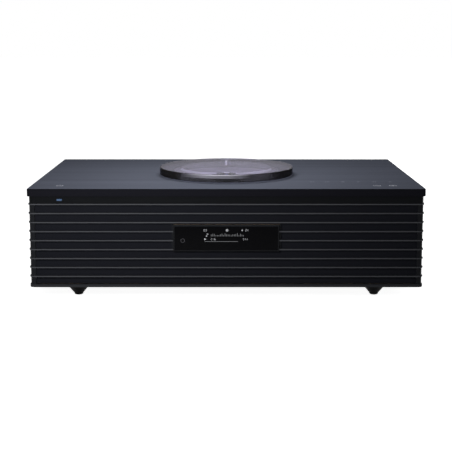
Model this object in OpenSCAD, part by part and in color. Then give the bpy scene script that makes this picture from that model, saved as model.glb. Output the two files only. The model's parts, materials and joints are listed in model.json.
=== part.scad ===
// Compact one-box music system: a louvred loudspeaker cabinet with a top-loading disc drive.
// Millimetres. X runs to the right, Y from the front to the back, Z is up.
// The origin lies on the floor under the middle of the top panel.

/* [Cabinet] */
// Width of the top panel
panel_w = 453; // [442:1:470]
// Depth of the top panel
panel_d = 280; // [276:1:300]
// Thickness of the top panel
panel_t = 8.6; // [8:0.1:10]
// Radius of the top panel's corners
panel_corner = 4; // [1:0.5:6]
// Height of the louvred body between the base plate and the top panel
body_h = 102.2; // [100:0.2:110]
// Thickness of the base plate
base_t = 3.4; // [2.8:0.1:4.4]
// Height of a foot with its pad
foot_h = 17.8; // [16:0.2:22]
// Distance of a foot's axis from the panel's side edge
foot_side = 51.5; // [46:0.5:60]
// Distance of a foot's axis from the panel's front or rear edge
foot_end = 40; // [34:0.5:50]
// Thickness of the side, divider and back boards
board_t = 9; // [8:0.5:11]
// Thickness of the front baffle
baffle_t = 12; // [11:0.5:14]
// Clear width of the middle bay
bay_w = 184; // [180:1:192]

/* [Louvres] */
// Distance between two fins
fin_pitch = 10.46; // [9.8:0.02:11]
// Thickness of a fin
fin_t = 1.4; // [1.2:0.1:2]
// Step from the fins' tips back to the side walls
fin_proud = 1; // [0.8:0.1:1.6]
// Step from the top panel's edge back to the fins' tips
fin_inset = 0.8; // [0.6:0.1:1.6]
// Height of the rail above the first fin
rail_h = 8.6; // [8.4:0.1:10]
// Thickness of the grille's walls
wall_t = 3; // [2.6:0.1:3.6]
// Radius of the grille's front corners
corner_r = 5; // [3.5:0.1:6]

/* [Display] */
// Width of the display bezel
bezel_w = 121; // [115:0.5:126]
// Thickness of the display window
window_t = 2; // [1.6:0.1:2.4]
// Radius of the remote sensor
sensor_r = 2.5; // [2:0.1:3]

/* [Lid] */
// Diameter of the disc lid
lid_d = 165; // [162:0.5:172]
// Height of the disc lid
lid_t = 9.1; // [8:0.1:10]
// Gap between the lid and the top panel
lid_gap = 1.7; // [1.4:0.1:2]
// Thickness of the lid over its hollow
lid_roof = 3; // [2.6:0.1:3.6]
// Radius of the lid's hollow over the disc
pocket_r = 56.5; // [54:0.5:60]
// Radius of the metal collar in the lid
collar_r = 8; // [7:0.1:8.5]
// Wall between the collar and the lid's rim
collar_edge = 2.5; // [2:0.1:4]

/* [Disc drive] */
// Distance of the disc's axis behind the panel's front edge
disc_back = 121; // [118:0.5:126]
// Depth of the disc's underside below the panel's top
disc_drop = 3.5; // [3:0.1:4]
// Depth of the well's floor below the panel's top
well_drop = 7; // [6.6:0.1:7.6]
// Travel of the pickup from the innermost to the outermost track
sled_travel = 33; // [30:0.5:33]
// Radius of the innermost track read by the pickup
track_r = 24; // [23.5:0.1:25]
// Radius of the guide rods
rod_r = 1.5; // [1.2:0.1:1.8]
// Tooth module of the sled's gears
gear_m = 0.8; // [0.7:0.05:0.8]
// Teeth of the large wheel
wheel_teeth = 36; // [30:1:36]
// Teeth of the wheel's small pinion
step_teeth = 12; // [12:1:14]
// Teeth of the motor pinion
motor_teeth = 10; // [10:1:12]

/* [Loudspeakers] */
// Radius of a woofer's flange
woofer_flange = 48; // [48:0.5:49.5]
// Radius of a woofer's opening
woofer_cut = 38; // [36:0.5:38]
// Depth of a woofer's basket
woofer_depth = 32; // [28:0.5:36]
// Radius of the subwoofer's flange
sub_flange = 62; // [60:0.5:64]
// Radius of the subwoofer's opening
sub_cut = 54; // [52:0.5:54]
// Depth of the subwoofer's basket
sub_depth = 32; // [30:0.5:34]
// Radius of a tweeter's faceplate
tweeter_r = 14; // [13.6:0.1:14.4]
// Inner radius of a bass port
port_r = 18; // [15:0.5:20]
// Length of a bass port
port_len = 80; // [60:1:90]

/* [Hidden] */
$fn = 64;
// Slip gap of parts that are fixed to each other
fit_gap = 0.2;
// Radial clearance of a shaft in its bearing
run_gap = 0.05;
// Clearance round a part that moves
move_gap = 0.5;
// Overlap that joins two shapes into one solid
join = 0.5;

// Heights of the main planes
z_base = foot_h;
z_floor = z_base + base_t;
z_under = z_floor + body_h;
z_top = z_under + panel_t;
z_mid = z_floor + body_h / 2;

// Planes from the front to the back
y_front = -panel_d / 2;
y_fin = y_front + fin_inset;
y_band = y_fin + fin_proud;
y_cloth = y_band + wall_t;
cloth_t = 0.6;
y_baffle = y_cloth + cloth_t;
y_inner = y_baffle + baffle_t;
rear_inset = 6;
y_back = panel_d / 2 - rear_inset;
y_back_in = y_back - board_t;

// Planes from the side to the middle
x_fin = panel_w / 2 - fin_inset;
x_band = x_fin - fin_proud;
x_in = x_band - wall_t;
x_side = x_in - board_t;
x_bay = bay_w / 2;
x_chamber = (x_bay + board_t + x_side) / 2;

// Fins: as many as fit under the rail
fin_count = floor((body_h - rail_h - fin_t) / fin_pitch) + 1;
function fin_z(k) = z_under - rail_h - fin_t - k * fin_pitch;
post_w = 3.4;

// Display: it takes the place of three fins
disp_row = 3;
disp_rows = 3;
bezel_proud = 0.5;
bezel_gap = 2.2;
bezel_drop = 1.4;
bezel_edge = 1.4;
bezel_ledge = 1.2;
y_bezel = y_fin - bezel_proud;
bezel_top = fin_z(disp_row - 1) - bezel_gap;
bezel_bottom = fin_z(disp_row + disp_rows - 1) - bezel_drop;
bezel_h = bezel_top - bezel_bottom;
bezel_mid = (bezel_top + bezel_bottom) / 2;
module_half = bezel_w / 2 - 15;
module_h = bezel_h - 9;
rib_w = 2;
rib_d = 1.6;
rib_low = fin_z(disp_row + disp_rows - 1);
rib_top = fin_z(disp_row - 1) + fin_t;
sensor_x = -bezel_w / 2 + 10.8;
sensor_z = bezel_mid - 2.6;

// Status light in the rail
light_x = -panel_w / 2 + 36.8;
light_w = 6;
light_h = 2;
light_proud = 0.2;
light_z = z_under - rail_h / 2;

// Feet: a spigot goes up through the base plate, a recess takes the pad
spigot_r = 3;
foot_low_r = 6;
foot_high_r = 17.3;
foot_rim = 1.2;
pad_r = 5.3;
pad_z = 2.8;
pad_seat_r = 4.7;
pad_seat = 1.2;

// Touch boards under thin places of the top panel
touch_skin = 1.5;
touch_t = 1.6;
keys_x = panel_w / 2 - 77.5;
keys_y = y_front + 41.5;
keys_w = 104;
keys_d = 42;
power_x = -panel_w / 2 + 32.5;
power_y = y_front + 26.2;
power_w = 22;

// Disc axis, lid and pivot
y_disc = y_front + disc_back;
disc_r = 60;
pivot_reach = lid_d / 2 - collar_edge - collar_r;
y_pivot = y_disc + pivot_reach;
z_lid = z_top + lid_gap;
pivot_r = 3.5;
bush_wall = 1.8;
bush_flange_t = lid_gap - 0.3;
clip_t = 1;
clip_drop = 4.4;
z_clip = z_under - clip_drop;
groove_d = 1;
pivot_tail = 7;
collar_h = lid_t - 2.6;

// Well
well_r = disc_r + 3.5;
well_wall = 1.5;
well_floor_t = 2;
well_out = well_r + well_wall;
z_disc = z_top - disc_drop;
z_well = z_top - well_drop;
well_flange_t = 2;
z_flange = z_under - well_flange_t;

// Chassis of the disc drive
drive_drop = 24.6;
z_chassis = z_top - drive_drop;
chassis_t = 2;
boss_r = 4.5;
boss_screw_r = 1.5;
boss_x = [-52, 60];
boss_y = 45;
well_flange_r = norm([boss_x[1], boss_y]) + boss_r + 1.5;
damper_lip = 2;
damper_r = 4;
damper_rim = 6;
damper_h = chassis_t + 2 * damper_lip;
z_boss = z_chassis + damper_lip;
chassis_x = [-62, 86];
chassis_y = 53;

// Turntable
hub_r = 15.5;
nose_r = 7.4;
hub_step_r = 9;
nose_straight = 2.5;
nose_over = 1;
mat_t = 0.6;
platform_t = 2.4;
z_platform = z_disc - mat_t;
hub_boss_r = 5;
spindle_r = 1;
hub_hole_r = hub_r + 1.5;

// Motors
spindle_can_r = 12;
spindle_can_h = 10;
sled_can_r = 7.5;
sled_can_h = 14;
can_boss_r = 5.8;
sled_boss_r = 3;

// Sled on its rods
rod_y = 22;
rod_z = z_chassis + 5;
sled_len = 24;
sled_half = 17;
sled_low = z_chassis + 2;
sled_top = z_chassis + 11;
rack_t = 3;
lens_gap = 1.6;
lens_crown = 1;
lens_r = 2.4;
z_lens = z_disc - lens_gap;
holder_len = 9;
holder_w = 14;
focus_travel = 0.5;
holder_low = sled_top + focus_travel + move_gap;
holder_top = z_lens - lens_crown;
slot_half = 12;
lens_seat = 1.5;

// Gears: the rack runs past the small pinion, the large wheel lies below the rack
backlash = 0.16;
wheel_x = 38;
step_pr = gear_m * step_teeth / 2;
wheel_pr = gear_m * wheel_teeth / 2;
motor_pr = gear_m * motor_teeth / 2;
rack_y = -36.6;
wheel_y = rack_y - step_pr;
motor_x = wheel_x - wheel_pr - motor_pr;
wheel_low = z_chassis + 2.5;
wheel_t = 3;
axle_r = 1.5;
tooth_pitch = PI * gear_m;

// Loudspeakers
flange_t = 3;
woofer_coil = 12.5;
woofer_magnet = 30;
woofer_roll = 8;
sub_coil = 16;
sub_magnet = 38;
sub_roll = 11;
magnet_h = 16;
rim_drop = 1.6;
cage_step = 4;
cage_t = 2;
cage_in = 2;
cage_lip = 1.4;
cage_shell = 2.2;
window_in = 8;
window_low = 7;
window_high = 5;
neck_up = 9;
former_len = 10;
paper_t = 1;
skin_t = 0.9;
ring_up = 4;
sub_stand = 10;
y_sub = y_front + 108;
tweeter_x = x_bay - tweeter_r - 1;
tweeter_hole = 11;
dome_r = 9.3;
port_seat = 9;

// Screws of the cabinet, all alike
screw_r = 1.75;
screw_head_r = 3.6;
screw_head_h = 2.2;
screw_len = 12;
woofer_screw_r = woofer_flange - screw_head_r - 2 * fit_gap;
sub_screw_r = (sub_cut + sub_flange) / 2;

// Rear panel, its sockets and the boards
rear_half = 80;
rear_h = 44;
rear_t = 2;
rebate = 4;
ledge = 9;
y_plate = y_back - rebate + rear_t;
y_plate_in = y_plate - rear_t;
standoff_h = 8;
pcb_t = 1.6;
z_pcb = z_floor + standoff_h + pcb_t;
rear_low = z_pcb - 5;
z_rear = rear_low + rear_h / 2;
board_gap = 8;
board_front = y_sub + sub_flange + board_gap;
board_rear = y_back_in - 1;
main_x = [-20, 86];
power_board_x = [-86, -26];
sink_side = 32;
sink_front = 6;
sink_len = 52;
sink_h = 34;
sink_wall = 4;
sink_fin = 2;
sink_reach = 10;
sink_gaps = 8;
inlet_x = -58;
aerial_x = -14;
jack_x = 5;
optical_x = 21;
usb_x = 38;
network_x = 58;
socket_proud = 0.5;
inlet_w = 22;
inlet_h = 16;
network_w = 16;
network_h = 13.5;
usb_w = 14.4;
usb_h = 7;
optical_w = 10.4;
optical_h = 11;
jack_r = 1.8;
jack_len = 14;
jack_nose_r = 4;
jack_up = 5;
aerial_r = 4.76;
aerial_len = 7;
aerial_neck = 4.3;

// Points on an arc, angles in degrees.
function arc_points(centre, radius, from, to, steps) =
    [for (i = [0:steps]) let(a = from + (to - from) * i / steps) centre + radius * [cos(a), sin(a)]];

// Block given by its limits along X, Y and Z.
module block(x, y, z)
    translate([x[0], y[0], z[0]])
        cube([x[1] - x[0], y[1] - y[0], z[1] - z[0]]);

// Rectangle centred on the origin with rounded corners.
module rounded_rect(w, d, r)
    polygon(concat(
        arc_points([w / 2 - r, d / 2 - r], r, 0, 90, 6),
        arc_points([r - w / 2, d / 2 - r], r, 90, 180, 6),
        arc_points([r - w / 2, r - d / 2], r, 180, 270, 6),
        arc_points([w / 2 - r, r - d / 2], r, 270, 360, 6)));

// Plan outline that is square at the back and rounded at its two front corners.
module front_rounded(half, front, radius)
    polygon(concat(
        [[half, y_back], [-half, y_back]],
        arc_points([radius - half, front + radius], radius, 180, 270, 8),
        arc_points([half - radius, front + radius], radius, 270, 360, 8)));

// Plan of the grille's U-shaped wall between an outer outline and the cabinet.
module wrap_ring(half, front, radius)
    difference() {
        front_rounded(half, front, radius);
        translate([-x_in, y_cloth])
            square([2 * x_in, panel_d]);
    }

// Children at the places of the four feet.
module at_feet()
    for (sx = [-1, 1], sy = [-1, 1])
        translate([sx * (panel_w / 2 - foot_side), sy * (panel_d / 2 - foot_end), 0])
            children();

// Children at the lid's pivot axis.
module at_pivot()
    translate([0, y_pivot, 0])
        children();

// Children at the disc's axis.
module at_disc()
    translate([0, y_disc, 0])
        children();

// Children of the disc drive at the disc's axis: the pickup runs along the drive's own X, to the front.
module at_drive()
    at_disc()
        rotate(-90)
            children();

// Children at the four posts that carry the drive chassis.
module at_bosses()
    for (px = boss_x, sy = [-1, 1])
        translate([px, sy * boss_y, 0])
            children();

// Children facing the front, on the baffle's inner face.
module on_baffle(x)
    translate([x, y_inner, z_mid])
        rotate([90, 0, 0])
            children();

// Children facing the back, at a point on the rear panel's outer face.
module on_rear(x, z)
    translate([x, y_plate, z])
        rotate([-90, 0, 0])
            children();

// Thick top panel with chamfered edges, the well's bore, the pivot's bore and thin places for touch keys.
module top_panel() {
    edge = 0.6;
    color([0.33, 0.34, 0.38])
        difference() {
            translate([0, 0, z_under])
                linear_extrude(panel_t)
                    rounded_rect(panel_w, panel_d, panel_corner);
            for (s = [-1, 1]) {
                translate([s * panel_w / 2, 0, z_top])
                    rotate([0, 45, 0])
                        cube([edge * sqrt(2), panel_d + 2, edge * sqrt(2)], center = true);
                translate([0, s * panel_d / 2, z_top])
                    rotate([45, 0, 0])
                        cube([panel_w + 2, edge * sqrt(2), edge * sqrt(2)], center = true);
            }
            at_disc()
                translate([0, 0, z_under - 1])
                    cylinder(h = panel_t + 2, r = well_out + fit_gap);
            at_pivot()
                translate([0, 0, z_under - 1])
                    cylinder(h = panel_t + 2, r = pivot_r + bush_wall + run_gap);
            translate([keys_x, keys_y, z_under - 1])
                linear_extrude(panel_t + 1 - touch_skin)
                    rounded_rect(keys_w, keys_d, 3);
            translate([power_x, power_y, z_under - 1])
                linear_extrude(panel_t + 1 - touch_skin)
                    rounded_rect(power_w, power_w, 3);
        }
}

// Touch boards glued up into the panel's pockets.
module touch_boards()
    color([0.1, 0.35, 0.2])
        translate([0, 0, z_top - touch_skin - touch_t]) {
            translate([keys_x, keys_y, 0])
                linear_extrude(touch_t)
                    rounded_rect(keys_w - 2 * fit_gap, keys_d - 2 * fit_gap, 3);
            translate([power_x, power_y, 0])
                linear_extrude(touch_t)
                    rounded_rect(power_w - 2 * fit_gap, power_w - 2 * fit_gap, 3);
        }

// Dish let into the top panel, with posts that carry the disc drive.
module disc_well() {
    floor_low = z_well - well_floor_t;
    color([0.5, 0.5, 0.53])
        at_disc()
            difference() {
                union() {
                    rotate_extrude($fn = 128)
                        polygon([[hub_hole_r, floor_low], [well_r - 4, floor_low], [well_r - 2, z_flange],
                            [well_flange_r, z_flange], [well_flange_r, z_under], [well_out, z_under],
                            [well_out, z_top - 1], [well_r + 0.6, z_top - 1], [well_r, z_top - 1.6],
                            [well_r, z_well + 1], [well_r - 1, z_well], [hub_hole_r + 2, z_well],
                            [hub_hole_r + 1.4, z_well + 0.6], [hub_hole_r, z_well + 0.6]]);
                    rotate(-90)
                        at_bosses()
                            translate([0, 0, z_boss])
                                cylinder(h = z_under - z_boss - well_flange_t / 2, r = boss_r);
                }
                rotate(-90) {
                    block([hub_hole_r - 2, well_r - 0.5], [-slot_half, slot_half],
                        [floor_low - 3, z_well + 1]);
                    at_bosses()
                        translate([0, 0, z_boss - 1])
                            cylinder(h = 10, r = boss_screw_r + run_gap, $fn = 32);
                }
                translate([0, pivot_reach, z_flange - 1])
                    cylinder(h = well_flange_t + 2, r = pivot_r + bush_wall + 3);
            }
}

// Fins, corner posts and top rail: one moulding that wraps the front and both sides.
module louvre_grille()
    color([0.2, 0.2, 0.22])
        difference() {
            union() {
                difference() {
                    translate([0, 0, z_floor])
                        linear_extrude(body_h)
                            wrap_ring(x_band, y_band, corner_r);
                    block([post_w - x_in, x_in - post_w], [y_front, y_baffle],
                        [z_floor - 1, z_under - rail_h]);
                }
                for (k = [0:fin_count - 1])
                    translate([0, 0, fin_z(k)])
                        linear_extrude(fin_t)
                            wrap_ring(x_fin, y_fin, corner_r + fin_proud);
                for (s = [-1, 1])
                    translate([s * (bezel_w / 2 + fit_gap + rib_w / 2) - rib_w / 2, y_cloth - rib_d, rib_low])
                        cube([rib_w, rib_d, rib_top - rib_low]);
            }
            block([-bezel_w / 2 - fit_gap, bezel_w / 2 + fit_gap], [y_front, y_baffle],
                [bezel_bottom - fit_gap, bezel_top + fit_gap / 2]);
            block([light_x - light_w / 2 - fit_gap, light_x + light_w / 2 + fit_gap], [y_front, y_baffle],
                [light_z - light_h / 2 - fit_gap, light_z + light_h / 2 + fit_gap]);
        }

// Acoustic cloth stretched over the baffle behind the fins.
module grille_cloth()
    color([0.07, 0.07, 0.08])
        difference() {
            block([fit_gap - x_in, x_in - fit_gap], [y_cloth, y_baffle],
                [z_floor + fit_gap, z_under - fit_gap]);
            block([-bezel_w / 2 - fit_gap, bezel_w / 2 + fit_gap], [y_front, y_inner],
                [bezel_bottom - fit_gap, bezel_top + fit_gap]);
            block([light_x - light_w / 2 - fit_gap, light_x + light_w / 2 + fit_gap], [y_front, y_inner],
                [light_z - light_h / 2 - fit_gap, light_z + light_h / 2 + fit_gap]);
        }

// Baffle with the openings of the loudspeakers and the display.
module front_baffle()
    color([0.3, 0.26, 0.22])
        difference() {
            block([-x_in, x_in], [y_baffle, y_inner], [z_floor, z_under]);
            for (s = [-1, 1]) {
                on_baffle(s * x_chamber) {
                    translate([0, 0, -1])
                        cylinder(h = baffle_t + 2, r = woofer_cut);
                    woofer_screw_places()
                        translate([0, 0, -1])
                            cylinder(h = screw_len - flange_t + 1.5, r = screw_r + run_gap, $fn = 32);
                }
                on_baffle(s * tweeter_x)
                    translate([0, 0, -1])
                        cylinder(h = baffle_t + 2, r = tweeter_hole);
            }
            block([-module_half - fit_gap, module_half + fit_gap], [y_baffle - 1, y_inner + 1],
                [bezel_mid - module_h / 2 - fit_gap, bezel_mid + module_h / 2 + fit_gap]);
        }

// Left and right boards behind the grille's side walls.
module side_boards()
    color([0.33, 0.28, 0.24])
        difference() {
            for (s = [0, 1])
                mirror([s, 0, 0])
                    block([x_side, x_in], [y_inner, y_back_in], [z_floor, z_under]);
            base_screw_holes();
        }

// Boards that part the middle bay from the two loudspeaker chambers.
module divider_boards()
    color([0.33, 0.28, 0.24])
        difference() {
            for (s = [0, 1])
                mirror([s, 0, 0])
                    block([x_bay, x_bay + board_t], [y_inner, y_back_in], [z_floor, z_under]);
            base_screw_holes();
        }

// Back board with port holes and a rebated opening for the rear panel.
module back_board()
    color([0.14, 0.14, 0.15])
        difference() {
            block([-x_in, x_in], [y_back_in, y_back], [z_floor, z_under]);
            for (s = [-1, 1])
                translate([s * x_chamber, y_back_in - 1, z_mid])
                    rotate([-90, 0, 0])
                        cylinder(h = board_t + 2, r = port_r + port_seat + fit_gap);
            block([ledge - rear_half, rear_half - ledge], [y_back_in - 1, y_back + 1],
                [z_pcb - 3 * fit_gap, rear_low + rear_h - 4]);
            block([-rear_half - fit_gap, rear_half + fit_gap], [y_back - rebate, y_back + 1],
                [rear_low - fit_gap, rear_low + rear_h + fit_gap]);
            rear_screw_places()
                translate([0, 0, -screw_len - 1])
                    cylinder(h = screw_len + 2, r = screw_r + run_gap, $fn = 32);
        }

// Children on the rear panel's outer face at its four screws, facing the back.
module rear_screw_places()
    for (sx = [-1, 1], sz = [-1, 1])
        on_rear(sx * (rear_half - ledge / 2), z_rear + sz * (rear_h / 2 - 7))
            children();

// Children under the base plate at the screws of the boards and of the subwoofer.
module base_screw_places() {
    for (sx = [-1, 1], sy = [-1, 1]) {
        translate([sx * (x_side + board_t / 2), sy * (panel_d / 2 - 50), z_base])
            children();
        translate([sx * (x_bay + board_t / 2), sy * (panel_d / 2 - 50), z_base])
            children();
    }
    for (a = [45:90:315])
        translate([0, y_sub, z_base])
            rotate(a)
                translate([sub_screw_r, 0, 0])
                    children();
}

// Pilot holes over the base screws.
module base_screw_holes()
    base_screw_places()
        translate([0, 0, -1])
            cylinder(h = screw_len + 1.5, r = screw_r + run_gap, $fn = 32);

// Children round a woofer at its four screws.
module woofer_screw_places()
    for (a = [45:90:315])
        rotate(a)
            translate([woofer_screw_r, 0, 0])
                children();

// One pan-head screw with a cross recess, its shank along +Z and its seat at the origin.
module pan_screw(length)
    difference() {
        union() {
            translate([0, 0, -join])
                cylinder(h = length + join, r = screw_r, $fn = 32);
            rotate_extrude($fn = 32)
                polygon([[0, -screw_head_h], [screw_head_r * 0.6, -screw_head_h],
                    [screw_head_r, -screw_head_h * 0.45], [screw_head_r, 0], [0, 0]]);
        }
        for (a = [0, 90])
            rotate(a)
                translate([-2, -0.45, -screw_head_h - 1])
                    cube([4, 0.9, 2.2]);
    }

// Screws of the base plate, the rear panel and the woofers.
module cabinet_screws()
    color([0.25, 0.25, 0.26]) {
        base_screw_places()
            pan_screw(screw_len);
        rear_screw_places()
            rotate([180, 0, 0])
                pan_screw(screw_len);
        for (s = [-1, 1])
            on_baffle(s * x_chamber)
                woofer_screw_places()
                    translate([0, 0, -flange_t])
                        pan_screw(screw_len);
    }

// Base plate: its front edge shows as a lip, and slots guard the subwoofer.
module base_plate() {
    spoke = 5;
    rings = [[10, 17], [22, 29], [34, 41], [46, sub_cut - 3]];
    color([0.2, 0.2, 0.21])
        difference() {
            translate([0, 0, z_base])
                linear_extrude(base_t)
                    front_rounded(x_fin, y_fin, corner_r + fin_proud);
            translate([0, y_sub, z_base - 1])
                for (ring = rings)
                    difference() {
                        cylinder(h = base_t + 2, r = ring[1]);
                        translate([0, 0, -1])
                            cylinder(h = base_t + 4, r = ring[0]);
                        for (a = [0:60:120])
                            rotate(a)
                                translate([-sub_cut, -spoke / 2, -1])
                                    cube([2 * sub_cut, spoke, base_t + 4]);
                    }
            base_screw_holes();
            at_feet()
                translate([0, 0, z_base - 1])
                    cylinder(h = base_t + 2, r = spigot_r + run_gap, $fn = 32);
        }
}

// Conical feet, each with a spigot up through the base plate and a recess for its pad.
module feet()
    color([0.12, 0.12, 0.13])
        at_feet()
            rotate_extrude()
                polygon([[0, pad_z + pad_seat], [pad_seat_r, pad_z + pad_seat], [pad_seat_r, pad_z],
                    [foot_low_r, pad_z], [foot_high_r, foot_h - foot_rim], [foot_high_r, foot_h],
                    [spigot_r, foot_h], [spigot_r, z_floor], [0, z_floor]]);

// Rubber pads under the feet.
module foot_pads() {
    seat_r = pad_seat_r - run_gap;
    edge_r = 2;
    color([0.05, 0.05, 0.05])
        at_feet()
            rotate_extrude()
                polygon(concat([[0, 0]], arc_points([pad_r - edge_r, edge_r], edge_r, 270, 360, 5),
                    [[pad_r, pad_z], [seat_r, pad_z], [seat_r, pad_z + pad_seat], [0, pad_z + pad_seat]]));
}

// Frame round the display window.
module display_bezel() {
    inner_w = bezel_w - 2 * bezel_edge;
    inner_h = bezel_h - 2 * bezel_edge;
    chamfer = 0.5;
    color([0.1, 0.1, 0.11])
        difference() {
            block([-bezel_w / 2, bezel_w / 2], [y_bezel, y_baffle], [bezel_bottom, bezel_top]);
            block([-inner_w / 2, inner_w / 2], [y_bezel - 1, y_bezel + window_t],
                [bezel_bottom + bezel_edge, bezel_top - bezel_edge]);
            block([bezel_ledge - inner_w / 2, inner_w / 2 - bezel_ledge], [y_bezel, y_baffle + 1],
                [bezel_mid - inner_h / 2 + bezel_ledge, bezel_mid + inner_h / 2 - bezel_ledge]);
            for (s = [-1, 1]) {
                translate([s * bezel_w / 2, y_bezel, bezel_mid])
                    rotate([0, 0, 45])
                        cube([chamfer * sqrt(2), chamfer * sqrt(2), bezel_h + 2], center = true);
                translate([0, y_bezel, bezel_mid + s * bezel_h / 2])
                    rotate([45, 0, 0])
                        cube([bezel_w + 2, chamfer * sqrt(2), chamfer * sqrt(2)], center = true);
            }
        }
}

// Dark window with a hole for the remote sensor.
module display_window() {
    half_w = bezel_w / 2 - bezel_edge - run_gap;
    half_h = bezel_h / 2 - bezel_edge - run_gap;
    color([0.03, 0.03, 0.035])
        difference() {
            block([-half_w, half_w], [y_bezel, y_bezel + window_t], [bezel_mid - half_h, bezel_mid + half_h]);
            translate([sensor_x, y_bezel - 1, sensor_z])
                rotate([-90, 0, 0])
                    cylinder(h = window_t + 2, r = sensor_r + run_gap, $fn = 48);
        }
}

// Display panel on its board, let into the baffle behind the window.
module display_module() {
    y_glass = y_bezel + window_t;
    y_board = y_inner - 3;
    color([0.05, 0.06, 0.07])
        union() {
            block([-module_half, module_half], [y_glass, y_glass + 3],
                [bezel_mid - module_h / 2, bezel_mid + module_h / 2]);
            block([2 - module_half, module_half - 2], [y_glass + 3 - join, y_board],
                [bezel_mid - module_h / 2 + 2, bezel_mid + module_h / 2 - 2]);
            block([-module_half, module_half], [y_board - join, y_board + pcb_t],
                [bezel_mid - module_h / 2, bezel_mid + module_h / 2]);
            block([-14, 14], [y_board, y_inner + 2], [bezel_mid - 3, bezel_mid + 3]);
        }
}

// Remote sensor: a round lens in the window, backed by the baffle.
module remote_sensor()
    color([0.12, 0.02, 0.03])
        translate([sensor_x, y_baffle, sensor_z])
            rotate([90, 0, 0])
                rotate_extrude($fn = 48)
                    polygon([[0, 0], [sensor_r, 0], [sensor_r, y_baffle - y_bezel - 0.2],
                        [sensor_r - 0.7, y_baffle - y_bezel - 0.2], [sensor_r - 1, y_baffle - y_bezel - 0.5],
                        [0, y_baffle - y_bezel - 0.3]]);

// Light guide of the status light, let into the rail.
module status_light()
    color([0.3, 0.55, 1])
        translate([light_x, y_baffle, light_z])
            rotate([90, 0, 0])
                linear_extrude(y_baffle - y_band + light_proud)
                    rounded_rect(light_w, light_h, light_h / 2 - 0.02);

// Connector plate in the back board's rebate.
module rear_panel()
    color([0.13, 0.13, 0.14])
        difference() {
            block([-rear_half, rear_half], [y_plate_in, y_plate], [rear_low, rear_low + rear_h]);
            rear_screw_places()
                translate([0, 0, -rear_t - 1])
                    cylinder(h = rear_t + 2, r = screw_r + run_gap, $fn = 32);
            block([inlet_x - inlet_w / 2 - fit_gap, inlet_x + inlet_w / 2 + fit_gap],
                [y_plate_in - 1, y_plate + 1],
                [z_rear - inlet_h / 2 - fit_gap, z_rear + inlet_h / 2 + fit_gap]);
            on_rear(aerial_x, z_rear)
                translate([0, 0, -rear_t - 1])
                    cylinder(h = rear_t + 2, r = aerial_neck + run_gap, $fn = 48);
            on_rear(jack_x, z_pcb + jack_up)
                translate([0, 0, -rear_t - 1])
                    cylinder(h = rear_t + 2, r = jack_nose_r + fit_gap, $fn = 48);
            socket_hole(optical_x, optical_w, optical_h);
            socket_hole(usb_x, usb_w, usb_h);
            socket_hole(network_x, network_w, network_h);
        }

// Rectangular hole in the rear panel round a socket that stands on the main board.
module socket_hole(x, w, h)
    block([x - w / 2 - fit_gap, x + w / 2 + fit_gap], [y_plate_in - 1, y_plate + 1],
        [z_pcb - fit_gap, z_pcb + h + fit_gap]);

// Two-pin mains inlet, held by its flange.
module mains_inlet() {
    depth = 15;
    pin_gap = 8.6;
    mouth_r = 4.4;
    color([0.06, 0.06, 0.065])
        on_rear(inlet_x, z_rear) {
            difference() {
                union() {
                    translate([0, 0, -depth - 3])
                        linear_extrude(depth + 3 + join)
                            rounded_rect(inlet_w, inlet_h, 2);
                    linear_extrude(2)
                        rounded_rect(inlet_w + 8, inlet_h + 4, 3);
                }
                translate([0, 0, -depth]) {
                    for (s = [-1, 1])
                        translate([s * pin_gap / 2, 0, 0])
                            cylinder(h = depth + 3, r = mouth_r, $fn = 48);
                    translate([-pin_gap / 2, -mouth_r + 0.02, 0])
                        cube([pin_gap, 2 * mouth_r - 0.04, depth + 3]);
                }
            }
            for (s = [-1, 1])
                translate([s * pin_gap / 2, 0, -depth - 1])
                    cylinder(h = 11, r = 1.2, $fn = 32);
        }
}

// Network socket with its latch notch.
module network_socket()
    color([0.6, 0.61, 0.62])
        translate([network_x, y_plate + socket_proud, z_pcb])
            difference() {
                block([-network_w / 2, network_w / 2], [-18, 0], [0, network_h]);
                block([-5.9, 5.9], [-14, 1], [4.4, 11.8]);
                block([-3.2, 3.2], [-14, 1], [2.2, 5]);
                block([-1.6, 1.6], [-14, 1], [1, 3]);
                for (i = [-3.5:1:3.5])
                    block([i * 1.1 - 0.3, i * 1.1 + 0.3], [-12, 1], [11.5, 12.4]);
            }

// Flat USB socket with its tongue.
module usb_socket()
    color([0.68, 0.69, 0.7])
        translate([usb_x, y_plate + socket_proud, z_pcb])
            difference() {
                block([-usb_w / 2, usb_w / 2], [-15, 0], [0, usb_h]);
                difference() {
                    block([-6.25, 6.25], [-12, 1], [0.9, 6.1]);
                    block([-5.6, 5.6], [-13, -2], [3.6, 5.5]);
                }
            }

// Square optical socket with its light tip.
module optical_socket()
    color([0.08, 0.08, 0.09])
        translate([optical_x, y_plate + socket_proud, z_pcb])
            union() {
                difference() {
                    block([-optical_w / 2, optical_w / 2], [-15, 0], [0, optical_h]);
                    block([-3.9, 3.9], [-11, 1], [1.6, 9.4]);
                }
                translate([0, -12, 5.5])
                    rotate([-90, 0, 0])
                        cylinder(h = 4, r = 1.6, $fn = 32);
            }

// Small audio jack: a block on the board with a round nose through the panel.
module audio_jack()
    color([0.07, 0.07, 0.075])
        difference() {
            union() {
                translate([jack_x, y_plate_in - fit_gap, z_pcb])
                    block([-6, 6], [-15, 0], [0, 2 * jack_up]);
                on_rear(jack_x, z_pcb + jack_up)
                    translate([0, 0, -rear_t - 1])
                        cylinder(h = rear_t + 1 + socket_proud, r = jack_nose_r, $fn = 48);
            }
            on_rear(jack_x, z_pcb + jack_up)
                translate([0, 0, socket_proud - jack_len])
                    cylinder(h = jack_len + 1, r = jack_r, $fn = 48);
        }

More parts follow.
